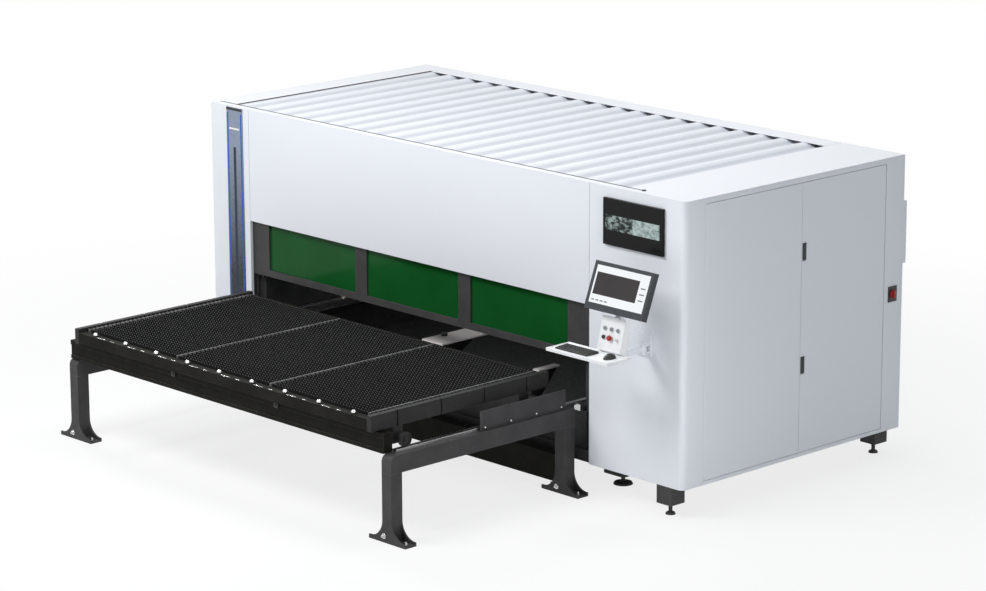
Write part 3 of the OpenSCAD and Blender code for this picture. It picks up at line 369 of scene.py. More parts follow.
ENAMEL = white_enamel()
ROOF_ENAMEL = roof_enamel()
FRAME_GREY = frame_coat("frame_grey",
                        ((0.040, 0.038, 0.039), (0.055, 0.052, 0.053)), (0.19, 0.185, 0.19), 0.25)
PALLET_GREY = frame_coat("pallet_grey",
                         ((0.021, 0.020, 0.020), (0.030, 0.029, 0.029)), (0.10, 0.10, 0.10), 0.2)
BEAM_BLACK = frame_coat("beam_black",
                        ((0.011, 0.0105, 0.009), (0.017, 0.0162, 0.0138)), (0.16, 0.16, 0.15), 0.04)
SLAT_STEEL = highlit_slats()
# The combs' steel is painted far paler than the slats', as painted highlights between the slats.
COMB_HIGHLIT_STEEL = scorched_steel("comb_highlit_steel", ((0.13, 0.13, 0.125), (0.30, 0.30, 0.29)), 0.4)
BED_BLACK = frame_coat("bed_black",
                       ((0.020, 0.021, 0.020), (0.032, 0.033, 0.032)), (0.08, 0.08, 0.08), 0.3)
RAIL_STEEL = brushed_metal("rail_steel", (grey(0.52), grey(0.68)), (0.20, 0.36), 60, (1, 0.05, 1))
BRIGHT_STEEL = brushed_metal("bright_steel",
                             (grey(0.66), grey(0.80)), (0.10, 0.22), 120, (1, 1, 0.1))
PLATE_PALE = infeed_coat()
HEAD_METAL = brushed_metal("head_metal",
                           ((0.46, 0.46, 0.47), (0.60, 0.60, 0.61)), (0.28, 0.44), 140, (1, 1, 0.1))
COPPER = brushed_metal("copper",
                       ((0.62, 0.33, 0.19), (0.72, 0.42, 0.26)), (0.22, 0.36), 200, (1, 1, 0.2))
GANTRY_GREY = frame_coat("gantry_grey", ((0.14, 0.145, 0.15), (0.18, 0.185, 0.19)), (0.4, 0.4, 0.4))
GALVANISED = brushed_metal("galvanised", (grey(0.44), grey(0.62)), (0.34, 0.52), 26, (1, 1, 1))
FILTER_GLASS = filter_glass()
STRIP_PLASTIC = strip_cover()
BLACK_PLASTIC = moulded_plastic("black_plastic", (grey(0.007), grey(0.014)), 0.42)
DISPLAY_BLACK = moulded_plastic("display_black", (grey(0.006), grey(0.010)), 0.30, specular=0.15)
BEZEL_GREY = moulded_plastic("bezel_grey",
                             ((0.042, 0.047, 0.053), (0.052, 0.058, 0.065)), 0.42, specular=0.2)
# A whiter copy of the cabinet's white for the button box and keyboard tray: painted light, for the
# light they catch near the lamps.
CONSOLE_LIT_WHITE = moulded_plastic("console_lit_white",
                                ((0.89, 0.90, 0.91), (0.94, 0.95, 0.96)), 0.36, specular=0.3)
KEY_BLACK = moulded_plastic("key_black", (grey(0.012), grey(0.020)), 0.5)
KEY_GREY = moulded_plastic("key_grey", ((0.20, 0.22, 0.22), (0.26, 0.28, 0.28)), 0.4)
SIGNAL_RED = moulded_plastic("signal_red", ((0.33, 0.012, 0.010), (0.42, 0.018, 0.014)), 0.3)
LINE_BLUE = moulded_plastic("line_blue",
                            ((0.010, 0.085, 0.42), (0.016, 0.110, 0.50)), 0.28, specular=0.3)
WHEEL_POLYMER = moulded_plastic("wheel_polymer", (grey(0.010), grey(0.018)), 0.5, specular=0.3)
FOOT_RUBBER = moulded_plastic("foot_rubber", (grey(0.008), grey(0.016)), 0.6)
DEVICE_GREY = moulded_plastic("device_grey", ((0.34, 0.35, 0.36), (0.42, 0.43, 0.44)), 0.42)
SOURCE_GREY = frame_coat("source_grey",
                         ((0.075, 0.08, 0.088), (0.098, 0.103, 0.11)), (0.3, 0.3, 0.3))
SCREEN_WHITE = lit_screen("screen_white", (0.92, 0.95, 0.97), 0.98, 0.02)
SCREEN_DARK = lit_screen("screen_dark", (0.052, 0.047, 0.050), 0.9, 0.006)
SCREEN_LINE = lit_screen("screen_line", (0.20, 0.24, 0.28), 0.7)
PICTURE_BLACK = lit_screen("picture_black", grey(0.008), 0.5, 0.003)
PICTURE_PALE = mottled_screen("picture_pale",
                              (0.20, 0.27, 0.26), (0.56, 0.68, 0.66), 34, 0.32, 0.58)
PICTURE_MOTTLED = mottled_screen("picture_mottled",
                                 (0.020, 0.030, 0.028), (0.40, 0.50, 0.48), 30, 0.43, 0.62)
LAMP_WHITE = lit_screen("lamp_white", grey(0.95), 0.9)
LINE_GLOW = lit_screen("line_glow", (0.040, 0.056, 0.092), 0.7, 0.01)

FINISHES = {
    ENAMEL: ("left_column", "front_hood", "front_right_panel", "left_side_panel", "rear_panel",
             "side_frame", "roof_covers", "side_door_front", "side_door_rear",
             "cabinet_cooler", "console_bracket", "console_arm"),
    CONSOLE_LIT_WHITE: ("button_box", "keyboard_tray"),
    ROOF_ENAMEL: ("roof_panel",),
    FRAME_GREY: ("base_frame", "frame_legs", "frame_side_beams", "chain_guards", "lift_door",
                 "door_guides"),
    PALLET_GREY: ("pallet_side_tubes",),
    BEAM_BLACK: ("frame_cross_beams", "pallet_end_bars"),
    COMB_HIGHLIT_STEEL: ("pallet_combs",),
    SLAT_STEEL: ("slats",),
    BED_BLACK: ("bed_side_walls", "bed_end_plates", "scrap_tray"),
    RAIL_STEEL: ("gantry_tracks", "pallet_rails"),
    BRIGHT_STEEL: ("transfer_balls", "door_pivots", "key_switch"),
    PLATE_PALE: ("infeed_plates",),
    HEAD_METAL: ("cutting_head", "head_carriage"),
    GANTRY_GREY: ("gantry_beam",),
    GALVANISED: ("partition_wall",),
    FILTER_GLASS: ("lift_door_windows",),
    STRIP_PLASTIC: ("light_strip",),
    DISPLAY_BLACK: ("wide_display",),
    BEZEL_GREY: ("monitor", "door_handle_upper", "door_handle_lower"),
    BLACK_PLASTIC: ("keyboard_and_mouse", "start_button", "main_switch_plate"),
    KEY_GREY: ("push_button_left", "push_button_middle", "push_button_right"),
    SIGNAL_RED: ("emergency_stop", "main_switch_knob"),
    WHEEL_POLYMER: ("wheel_front_left", "wheel_front_right", "wheel_rear_left", "wheel_rear_right"),
    FOOT_RUBBER: ("levelling_feet",),
    DEVICE_GREY: ("mounting_plate",),
    SOURCE_GREY: ("laser_source",),
}


def dress_nodes():
    for finish, names in FINISHES.items():
        for name in names:
            for slot in nodes[name].material_slots:
                slot.material = finish


# Pieces

def finished_piece(name, bm, body, materials, smooth=False):
    """The bmesh as an object that rides on a body and takes the given finishes."""
    mesh = bpy.data.meshes.new(name)
    bm.to_mesh(mesh)
    bm.free()
    for material in materials:
        mesh.materials.append(material)
    if smooth:
        mesh.shade_smooth()
    piece = bpy.data.objects.new(name, mesh)
    scene.collection.objects.link(piece)
    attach(piece, body)
    return piece


def only(geom, kind):
    """The vertices, edges or faces among an operator's results."""
    return [part for part in geom if isinstance(part, kind)]


def edges_at(corners):
    """The edges at the given vertices, each once and in a fixed order."""
    return list(dict.fromkeys(e for v in corners for e in v.link_edges))


def round_edges(bm, edges, radius):
    bmesh.ops.bevel(bm, geom=edges, offset=radius, affect="EDGES", segments=2, profile=0.5,
                    material=-1)


def paint_faces(corners, material):
    for face in {f for v in corners for f in v.link_faces}:
        face.material_index = material


def add_block(bm, low, high, soft=0.0, material=0, turn=Matrix.Identity(4)):
    """A box between two corners, its edges rounded by soft, turned by a matrix."""
    low, high = Vector(low), Vector(high)
    shape = Matrix.Translation((low + high) / 2) @ Matrix.Diagonal((*(high - low), 1))
    corners = bmesh.ops.create_cube(bm, size=1, matrix=turn @ shape)["verts"]
    paint_faces(corners, material)
    if soft:
        round_edges(bm, edges_at(corners), soft)


def add_round(bm, r_low, r_high, depth, place, segments=24, material=0):
    """A cylinder or cone whose lower end sits at the place matrix's origin, along its z axis."""
    middle = place @ Matrix.Translation((0, 0, depth / 2))
    corners = bmesh.ops.create_cone(bm, cap_ends=True, segments=segments, radius1=r_low,
                                    radius2=r_high, depth=depth, matrix=middle)["verts"]
    paint_faces(corners, material)


FACING = {
    "front": Matrix.Rotation(math.pi / 2, 4, "X"),
    "back": Matrix.Rotation(-math.pi / 2, 4, "X"),
    "right": Matrix.Rotation(math.pi / 2, 4, "Y"),
    "left": Matrix.Rotation(-math.pi / 2, 4, "Y"),
    "up": Matrix.Identity(4),
}


def on_face(place, facing):
    """The matrix of a piece that stands on a face, its z axis out of it."""
    return Matrix.Translation(place) @ FACING[facing]


def add_cap_screw(bm, place, facing, r=SCREW_R, material=0):
    """A button head screw on a face, with its hexagon socket."""
    at = on_face(place, facing)
    height, socket_r, socket_rim = r * 0.55, r * 0.4, 0.0003
    add_round(bm, r, r * 0.72, height, at, 16, material)
    add_round(bm, socket_r, socket_r, socket_rim, at @ Matrix.Translation((0, 0, height)), 6, material)


def add_hex_bolt(bm, place, facing, r, material=0):
    """A hexagon bolt head on its washer, with the end of its thread."""
    at = on_face(place, facing)
    washer = r * 0.25
    add_round(bm, r * 1.7, r * 1.7, washer, at, 24, material)
    add_round(bm, r * 1.2, r * 1.1, r, at @ Matrix.Translation((0, 0, washer)), 6, material)
    add_round(bm, r * 0.6, r * 0.5, r * 0.7, at @ Matrix.Translation((0, 0, washer + r)), 16, material)


def along(start, end, count):
    """Evenly spaced numbers from start to end."""
    return [start + (end - start) * i / (count - 1) for i in range(count)]


def make_slats():
    """Slats with fine pointed teeth, in the place of the plainer toothed solids."""
    low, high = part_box("slats")
    teeth = round((high.x - low.x) / TOOTH_PITCH)
    pitch = (high.y - low.y - SLAT_THICKNESS) / (SLAT_COUNT - 1)
    middle_z = (low.z + high.z) / 2
    bm = bmesh.new()
    upright = Matrix.Rotation(math.pi / 2, 4, "X")
    middle = Matrix.Translation(((low.x + high.x) / 2, low.y + SLAT_THICKNESS, middle_z))
    shape = Matrix.Diagonal(((high.x - low.x) / 2, (high.z - low.z) / 2, 1, 1))
    grid = bmesh.ops.create_grid(bm, x_segments=2 * teeth, y_segments=1, size=1,
                                 matrix=middle @ upright @ shape)["verts"]
    step = (high.x - low.x) / (2 * teeth)
    valleys = [v for v in grid
               if v.co.z > middle_z and round((v.co.x - low.x) / step) % 2 == 0]
    bmesh.ops.translate(bm, verts=valleys, vec=(0, 0, -TOOTH_DEPTH))
    plate = bmesh.ops.extrude_face_region(bm, geom=bm.faces[:])["geom"]
    bmesh.ops.translate(bm, verts=only(plate, bmesh.types.BMVert), vec=(0, -SLAT_THICKNESS, 0))
    bmesh.ops.recalc_face_normals(bm, faces=bm.faces[:])
    first = bm.verts[:] + bm.edges[:] + bm.faces[:]
    for i in range(1, SLAT_COUNT):
        copy = bmesh.ops.duplicate(bm, geom=first)["geom"]
        bmesh.ops.translate(bm, verts=only(copy, bmesh.types.BMVert), vec=(0, pitch * i, 0))
    slats = finished_piece("toothed_slats", bm, "pallet", [SLAT_STEEL])
    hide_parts("slats")


def make_anchor_bolts():
    """Two bolts in the sole of each leg, and a bright one low on its front face."""
    low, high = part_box("frame_legs")
    sole_length, sole_height, sole_depth, leg_depth = 0.360, 0.012, 0.100, 0.100
    hole_inset, sole_bolt_r = 0.050, 0.010
    face_bolt_left, face_bolt_z, face_bolt_r = 0.030, 0.045, 0.011
    bm = bmesh.new()
    for x in (low.x + hole_inset, low.x + sole_length - hole_inset,
              high.x - sole_length + hole_inset, high.x - hole_inset):
        for y in (low.y + sole_depth / 2, high.y - sole_depth / 2):
            add_hex_bolt(bm, (x, y, sole_height), "up", sole_bolt_r)
    for x in (low.x + sole_length / 2, high.x - sole_length / 2):
        for y in (low.y, high.y - leg_depth):
            add_hex_bolt(bm, (x - face_bolt_left, y, face_bolt_z), "front", face_bolt_r)
    finished_piece("anchor_bolts", bm, "machine", [BRIGHT_STEEL])


def screen_field(bm, turn, low, high, depth, material):
    """A thin lit field on a screen, between two corners in the screen's own width and height."""
    add_block(bm, (low[0], -depth, low[1]), (high[0], 0, high[1]), 0, material, turn)


def make_monitor_screen():
    """The control screen: a white page with one large dark view and plain tool fields."""
    low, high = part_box("monitor")
    height, thickness, bezel, chin, sink = 0.328, 0.042, 0.026, 0.046, 0.003
    page_proud, field_proud = 0.0012, 0.0016
    lean = Matrix.Rotation(MONITOR_SLOPE, 4, "X")
    front_foot = lean @ Vector((0, -thickness / 2, -height / 2))
    front_top = lean @ Vector((0, -thickness / 2, height / 2))
    middle = Vector(((low.x + high.x) / 2, low.y - front_foot.y, high.z - front_top.z))
    screen_place = Matrix.Translation((0, -thickness / 2 + sink, (chin - bezel) / 2))
    turn = Matrix.Translation(middle) @ lean @ screen_place
    w, h = high.x - low.x - 2 * bezel, height - bezel - chin
    bm = bmesh.new()
    screen_field(bm, turn, (-w / 2, -h / 2), (w / 2, h / 2), page_proud, 0)
    screen_field(bm, turn, (-0.47 * w, -0.27 * h), (0.33 * w, 0.32 * h), field_proud, 1)
    for i in range(4):
        left = -0.46 * w + i * 0.08 * w
        screen_field(bm, turn, (left, -0.43 * h), (left + 0.055 * w, -0.40 * h), field_proud, 2)
    for i in range(3):
        foot = -0.20 * h + i * 0.16 * h
        screen_field(bm, turn, (0.37 * w, foot), (0.46 * w, foot + 0.03 * h), field_proud, 2)
    finished_piece("control_screen", bm, "monitor",
                   [SCREEN_WHITE, SCREEN_DARK, SCREEN_LINE])


def make_wide_picture():
    """The wide display's picture: a band on black, mottled at its left and pale at its right."""
    low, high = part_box("wide_display")
    edge, chin, sink = 0.014, 0.018, 0.002
    black_proud, band_proud = 0.0008, 0.0012
    turn = Matrix.Translation((low.x + edge, low.y + sink, low.z + chin))
    w, h = high.x - low.x - 2 * edge, high.z - low.z - edge - chin
    band_foot, band_head = 0.30 * h, 0.66 * h
    bm = bmesh.new()
    screen_field(bm, turn, (0, 0), (w, h), black_proud, 0)
    screen_field(bm, turn, (0.01 * w, band_foot), (0.50 * w, band_head), band_proud, 2)
    screen_field(bm, turn, (0.50 * w, band_foot), (0.97 * w, band_head), band_proud, 1)
    finished_piece("wide_picture", bm, "machine",
                   [PICTURE_BLACK, PICTURE_PALE, PICTURE_MOTTLED])


def make_strip_lights():
    """Blue lines in the light strip's grooves, a soft glow down its middle, its cap and its lamp."""
    low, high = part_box("light_strip")
    edge, head_gap, groove, face = 0.014, 0.042, 0.016, 0.0006
    line_depth, line_soft = 0.003, 0.0004
    glow_half, glow_foot_gap, glow_head_gap = 0.014, 0.10, 0.26
    lamp_inset, lamp_foot, lamp_head, lamp_proud = 0.034, 0.125, 0.112, 0.004
    cap_height, cap_proud, soft = 0.020, 0.003, 0.001
    foot, head = low.z + edge, high.z - head_gap
    middle = (low.x + high.x) / 2
    bm = bmesh.new()
    for x in (low.x + edge, high.x - edge):
        add_block(bm, (x - groove / 2, low.y + face, foot),
                  (x + groove / 2, low.y + line_depth, head), line_soft, 0)
    add_block(bm, (middle - glow_half, low.y - face, low.z + glow_foot_gap),
              (middle + glow_half, low.y + face, head - glow_head_gap), 0, 1)
    add_block(bm, (low.x + lamp_inset, low.y - lamp_proud, head - lamp_foot),
              (high.x - lamp_inset, low.y + face, head - lamp_head), soft, 2)
    add_block(bm, (low.x, low.y - cap_proud, high.z - cap_height),
              (high.x, low.y + face, high.z), soft, 3)
    finished_piece("strip_lights", bm, "machine",
                   [LINE_BLUE, LINE_GLOW, LAMP_WHITE, BLACK_PLASTIC])


def add_key(bm, place, width, depth, height, material=0):
    """A key cap that narrows to its top."""
    half, narrowing = math.sqrt(0.5), 0.8
    middle = Matrix.Translation((*place[:2], place[2] + height / 2))
    shape = middle @ Matrix.Diagonal((width, depth, 1, 1)) @ Matrix.Rotation(math.pi / 4, 4, "Z")
    corners = bmesh.ops.create_cone(bm, cap_ends=True, segments=4, radius1=half,
                                    radius2=half * narrowing, depth=height, matrix=shape)["verts"]
    paint_faces(corners, material)


def make_keyboard():
    """A sloping keyboard with its rows of keys, the space bar in the middle of the first."""
    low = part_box("keyboard_and_mouse")[0]
    width, depth, front_h, back_h, soft = 0.300, 0.115, 0.010, 0.016, 0.003
    near = 0.001
    bm = bmesh.new()
    add_block(bm, low, (low.x + width, low.y + depth, low.z + back_h))
    for v in bm.verts:
        if v.co.z > low.z + near and v.co.y < low.y + near:
            v.co.z = low.z + front_h
    round_edges(bm, bm.edges[:], soft)
    rows, columns, margin, gap, key_h, key_sunk = 5, 15, 0.010, 0.003, 0.005, 0.001
    bar_start, bar_keys = 4, 6
    pitch_x, pitch_y = (width - 2 * margin) / columns, (depth - 2 * margin) / rows
    for row in range(rows):
        y = low.y + margin + (row + 0.5) * pitch_y
        z = low.z + front_h + (back_h - front_h) * (y - low.y) / depth - key_sunk
        for column in range(columns):
            if row == 0 and bar_start <= column < bar_start + bar_keys:
                continue
            x = low.x + margin + (column + 0.5) * pitch_x
            add_key(bm, (x, y, z), pitch_x - gap, pitch_y - gap, key_h, 1)
        if row == 0:
            x = low.x + margin + (bar_start + bar_keys / 2) * pitch_x
            add_key(bm, (x, y, z), bar_keys * pitch_x - gap, pitch_y - gap, key_h, 1)
    keyboard = finished_piece("keyboard", bm, "console", [BLACK_PLASTIC, KEY_BLACK])
    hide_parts("keyboard_and_mouse")


def make_mouse():
    """A rounded mouse with its wheel, beside the keyboard."""
    low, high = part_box("keyboard_and_mouse")
    mouse_w, mouse_l, mouse_h, mouse_y = 0.064, 0.104, 0.034, 0.075
    wheel_r, wheel_w, wheel_y, wheel_z = 0.008, 0.007, -0.026, 0.024
    middle = Vector((high.x - mouse_w / 2, low.y + mouse_y, low.z))
    bm = bmesh.new()
    shape = Matrix.Translation(middle) @ Matrix.Diagonal((mouse_w / 2, mouse_l / 2, mouse_h, 1))
    bmesh.ops.create_uvsphere(bm, u_segments=32, v_segments=20, radius=1, matrix=shape)
    cut = bmesh.ops.bisect_plane(bm, geom=bm.verts[:] + bm.edges[:] + bm.faces[:],
                                 plane_co=middle, plane_no=(0, 0, 1), clear_inner=True)["geom_cut"]
    bmesh.ops.edgeloop_fill(bm, edges=only(cut, bmesh.types.BMEdge))
    wheel = on_face(middle + Vector((-wheel_w / 2, wheel_y, wheel_z)), "right")
    add_round(bm, wheel_r, wheel_r, wheel_w, wheel, 20, 1)
    mouse = finished_piece("mouse", bm, "console", [BLACK_PLASTIC, KEY_GREY],
                           smooth=True)
    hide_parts("keyboard_and_mouse")


def make_ball_glints():
    """Bright steel strips along the front bar, between the transfer balls, as painted glints on the
    bar.
    """
    low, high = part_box("transfer_balls")
    bar_low, bar_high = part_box("pallet_end_bars")
    count, ball_r = 9, 0.018
    pitch = (high.x - low.x - 2 * ball_r) / (count - 1)
    rim_z = bar_high.z - 0.006
    near, far, sunk, proud, soft = 0.004, 0.010, 0.001, 0.002, 0.0008
    bm = bmesh.new()
    for i in range(count - 1):
        ball_x = low.x + ball_r + i * pitch
        for start, end in ((0.14, 0.40), (0.58, 0.70)):
            add_block(bm, (ball_x + start * pitch, bar_low.y + near, rim_z - sunk),
                      (ball_x + end * pitch, bar_low.y + far, rim_z + proud), soft)
    finished_piece("front_bar_glints", bm, "pallet", [BRIGHT_STEEL])


def make_beam_stops():
    """Rubber stops on the front beam."""
    low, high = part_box("frame_cross_beams")
    half, proud, sunk, soft = 0.022, 0.010, 0.002, 0.004
    foot, head = high.z - 0.040, high.z - 0.002
    button_low_r, button_high_r, button_h = 0.010, 0.008, 0.006
    bm = bmesh.new()
    for share in (0.353, 0.681):
        x = low.x + share * (high.x - low.x)
        add_block(bm, (x - half, low.y - proud, foot), (x + half, low.y + sunk, head), soft)
        place = on_face((x, low.y - proud, (foot + head) / 2), "front")
        add_round(bm, button_low_r, button_high_r, button_h, place, 16)
    finished_piece("beam_stops", bm, "machine", [BLACK_PLASTIC])


def make_roof_shade_strips():
    """Black strips along the roof sheet's front and left edges, and a black plug at the front one's
    end: painted shade of the gaps at the roof's edges.
    """
    roof_low, roof_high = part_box("roof_panel")
    cabinet_low, cabinet_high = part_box("roof_covers")
    lap, half, height, soft = 0.020, 0.005, 0.002, 0.001
    left_gap, right_reach = 0.06, 0.14
    plug_low_r, plug_high_r, plug_h = 0.016, 0.013, 0.006
    top = cabinet_high.z
    y = roof_low.y + lap
    plug_x = roof_high.x + right_reach
    bm = bmesh.new()
    add_block(bm, (cabinet_low.x + left_gap, y - half, top - height),
              (plug_x, y + half, top + height), soft)
    add_block(bm, (roof_low.x - half, y, top - height),
              (roof_low.x + half, roof_high.y - lap, top + height), soft)
    add_round(bm, plug_low_r, plug_high_r, plug_h, Matrix.Translation((plug_x, y, top)), 20)
    finished_piece("roof_shade_strips", bm, "machine", [FOOT_RUBBER])


def make_infeed_cap():
    """Black cap on the large infeed plate's knob."""
    low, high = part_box("infeed_plates")
    plate_w, plate_l, knob_x, knob_share, knob_r = 0.220, 0.455, -0.066, 0.4, 0.022
    foot_cover, head_cover = 0.002, 0.001
    x = low.x + plate_w / 2 + knob_x
    y = high.y - plate_l + knob_share * plate_l
    place = Matrix.Translation((x, y, high.z - KNOB_HEIGHT))
    bm = bmesh.new()
    add_round(bm, knob_r + foot_cover, knob_r + head_cover, KNOB_HEIGHT + head_cover, place, 32)
    finished_piece("infeed_cap", bm, "machine", [BLACK_PLASTIC])


def rear_joints():
    """The places of the joints between the rear cover's sheets."""
    low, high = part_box("rear_panel")
    return along(low.x + REAR_JOINT_INSET, high.x - REAR_JOINT_INSET, REAR_JOINTS)


def make_panel_screws():
    """Button head screws that hold the rear panel, the left panel and the chain guards."""
    edge_inset, rear_end, left_end, joint_end, joint_side = 0.012, 0.06, 0.05, 0.2, 0.012
    guard_end, guard_z, guard_r = 0.04, 0.02, 0.008
    bm = bmesh.new()
    low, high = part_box("rear_panel")
    for x in along(low.x + rear_end, high.x - rear_end, 11):
        for z in (low.z + edge_inset, high.z - edge_inset):
            add_cap_screw(bm, (x, high.y, z), "back")
    for x in rear_joints():
        for z in along(low.z + joint_end, high.z - joint_end, 6):
            for side in (-joint_side, joint_side):
                add_cap_screw(bm, (x + side, high.y, z), "back")
    low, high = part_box("left_side_panel")
    for y in along(low.y + left_end, high.y - left_end, 6):
        for z in (low.z + edge_inset, high.z - edge_inset):
            add_cap_screw(bm, (low.x, y, z), "left")
    low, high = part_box("chain_guards")
    for y in along(low.y + guard_end, high.y - guard_end, 4):
        add_cap_screw(bm, (high.x, y, low.z + guard_z), "right", guard_r)
        add_cap_screw(bm, (low.x, y, low.z + guard_z), "left", guard_r)
    finished_piece("panel_screws", bm, "machine", [BRIGHT_STEEL])


def make_panel_joints():
    """Dark sealed joints between the sheets of the rear cover and of the left cover."""
    end_gap, sunk, proud, half = 0.002, 0.001, 0.0006, JOINT_WIDTH / 2
    bm = bmesh.new()
    low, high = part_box("rear_panel")
    for x in rear_joints():
        add_block(bm, (x - half, high.y - sunk, low.z + end_gap),
                  (x + half, high.y + proud, high.z - end_gap))
    low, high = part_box("left_side_panel")
    for share in (1 / 3, 2 / 3):
        y = low.y + share * (high.y - low.y)
        add_block(bm, (low.x - proud, y - half, low.z + end_gap),
                  (low.x + sunk, y + half, high.z - end_gap))
    finished_piece("panel_joints", bm, "machine", [FOOT_RUBBER])


def add_louvre_vent(bm, x, foot, back):
    """A framed vent on the rear cover, with sloping blades over a dark opening."""
    width, height, bar, depth, sunk, soft = 0.44, 0.34, 0.020, 0.012, 0.001, 0.002
    blades, blade_depth, blade_half, blade_place = 11, 0.014, 0.001, 0.0062
    left, right, head = x - width / 2, x + width / 2, foot + height
    inner_left, inner_right = left + bar / 2, right - bar / 2
    add_block(bm, (inner_left, back - sunk, foot + bar / 2),
              (inner_right, back + sunk, head - bar / 2), 0, 1)
    for low_x, high_x in ((left, left + bar), (right - bar, right)):
        add_block(bm, (low_x, back - sunk, foot), (high_x, back + depth, head), soft)
    for low_z, high_z in ((foot, foot + bar), (head - bar, head)):
        add_block(bm, (inner_left, back - sunk, low_z), (inner_right, back + depth, high_z), soft)
    slope = Matrix.Rotation(math.radians(-35), 4, "X")
    blade_w = width - bar
    for z in along(foot + 1.8 * bar, head - 1.5 * bar, blades):
        turn = Matrix.Translation((x, back + blade_place, z)) @ slope
        add_block(bm, (-blade_w / 2, -blade_depth / 2, -blade_half),
                  (blade_w / 2, blade_depth / 2, blade_half), 0, 0, turn)


def make_rear_vents():
    """Two louvred vents low on the rear cover, each in the middle of a sheet."""
    low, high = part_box("rear_panel")
    joints = rear_joints()
    foot = low.z + 0.20
    bm = bmesh.new()
    for i in (0, 3):
        add_louvre_vent(bm, (joints[i] + joints[i + 1]) / 2, foot, high.y)
    finished_piece("rear_vents", bm, "machine", [ENAMEL, BLACK_PLASTIC])


def make_rail_screws():
    """Sunk screw caps along the linear rails of the bed."""
    low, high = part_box("gantry_tracks")
    cap_r, cap_h, spacing, rail_inset = 0.007, 0.0003, 0.12, 0.050
    bm = bmesh.new()
    count = int((high.y - low.y) / spacing)
    for y in along(low.y + spacing / 2, high.y - spacing / 2, count):
        for x in (low.x + rail_inset, high.x - rail_inset):
            add_round(bm, cap_r, cap_r, cap_h, Matrix.Translation((x, y, high.z)), 16)
    finished_piece("rail_screws", bm, "machine", [BLACK_PLASTIC])


def make_head_fittings():
    """Copper nozzle, its knurled lock ring and the cover band of the cutting head."""
    low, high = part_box("cutting_head")
    axis_y = 0.045
    nozzle_tip_r, nozzle_r, nozzle_h = 0.0046, 0.0137, 0.018
    ring_r, ring_h, ring_z = 0.0206, 0.009, 0.022
    knurls, knurl_r, knurl_h, knurl_z = 16, 0.002, 0.010, 0.0215
    band_r, band_h, band_z = 0.0408, 0.012, 0.072
    tip = Matrix.Translation(((low.x + high.x) / 2, low.y + axis_y, low.z))
    bm = bmesh.new()
    add_round(bm, nozzle_tip_r, nozzle_r, nozzle_h, tip, 32, 0)
    add_round(bm, ring_r, ring_r, ring_h, tip @ Matrix.Translation((0, 0, ring_z)), 32, 1)
    for i in range(knurls):
        turn = Matrix.Rotation(i * 2 * math.pi / knurls, 4, "Z")
        place = tip @ turn @ Matrix.Translation((ring_r, 0, knurl_z))
        add_round(bm, knurl_r, knurl_r, knurl_h, place, 6, 1)
    add_round(bm, band_r, band_r, band_h, tip @ Matrix.Translation((0, 0, band_z)), 48, 2)
    finished_piece("nozzle_fittings", bm, "head",
                   [COPPER, BRIGHT_STEEL, BLACK_PLASTIC])


def make_cooler_fan():
    """Fan guard of rings and spokes over the cooler's dark fan."""
    low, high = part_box("cabinet_cooler")
    fan_r, margin, depth = 0.095, 0.060, 0.006
    disc_gap, disc_h = 0.001, 0.0012
    hub_low_r, hub_high_r, guard_z = 0.026, 0.024, 0.004
    ring_w, ring_h = 0.003, 0.0015
    spokes, spoke_turn, spoke_half, spoke_foot, spoke_head = 4, 0.2, 0.0015, 0.0035, 0.0055
    middle = Vector(((low.x + high.x) / 2, high.y - depth, high.z - fan_r - margin / 2))
    at = on_face(middle, "back")
    guard = at @ Matrix.Translation((0, 0, guard_z))
    bm = bmesh.new()
    add_round(bm, fan_r - disc_gap, fan_r - disc_gap, disc_h, at, 48, 1)
    add_round(bm, hub_low_r, hub_high_r, guard_z, at, 32, 0)
    for r in (0.040, 0.058, 0.076, 0.092):
        ring = bmesh.ops.create_circle(bm, segments=48, radius=r, matrix=guard)["verts"]
        wall = bmesh.ops.extrude_edge_only(bm, edges=edges_at(ring))["geom"]
        bmesh.ops.scale(bm, vec=(1 + ring_w / r,) * 3, verts=only(wall, bmesh.types.BMVert),
                        space=Matrix.Translation(-guard.translation))
        bmesh.ops.solidify(bm, geom=only(wall, bmesh.types.BMFace), thickness=ring_h)
    for i in range(spokes):
        turn = Matrix.Rotation(i * math.pi / spokes + spoke_turn, 4, "Z")
        add_block(bm, (-fan_r, -spoke_half, spoke_foot), (fan_r, spoke_half, spoke_head), 0, 0,
                  at @ turn)
    bmesh.ops.recalc_face_normals(bm, faces=bm.faces[:])
    finished_piece("cooler_fan_guard", bm, "machine",
                   [BRIGHT_STEEL, BLACK_PLASTIC])


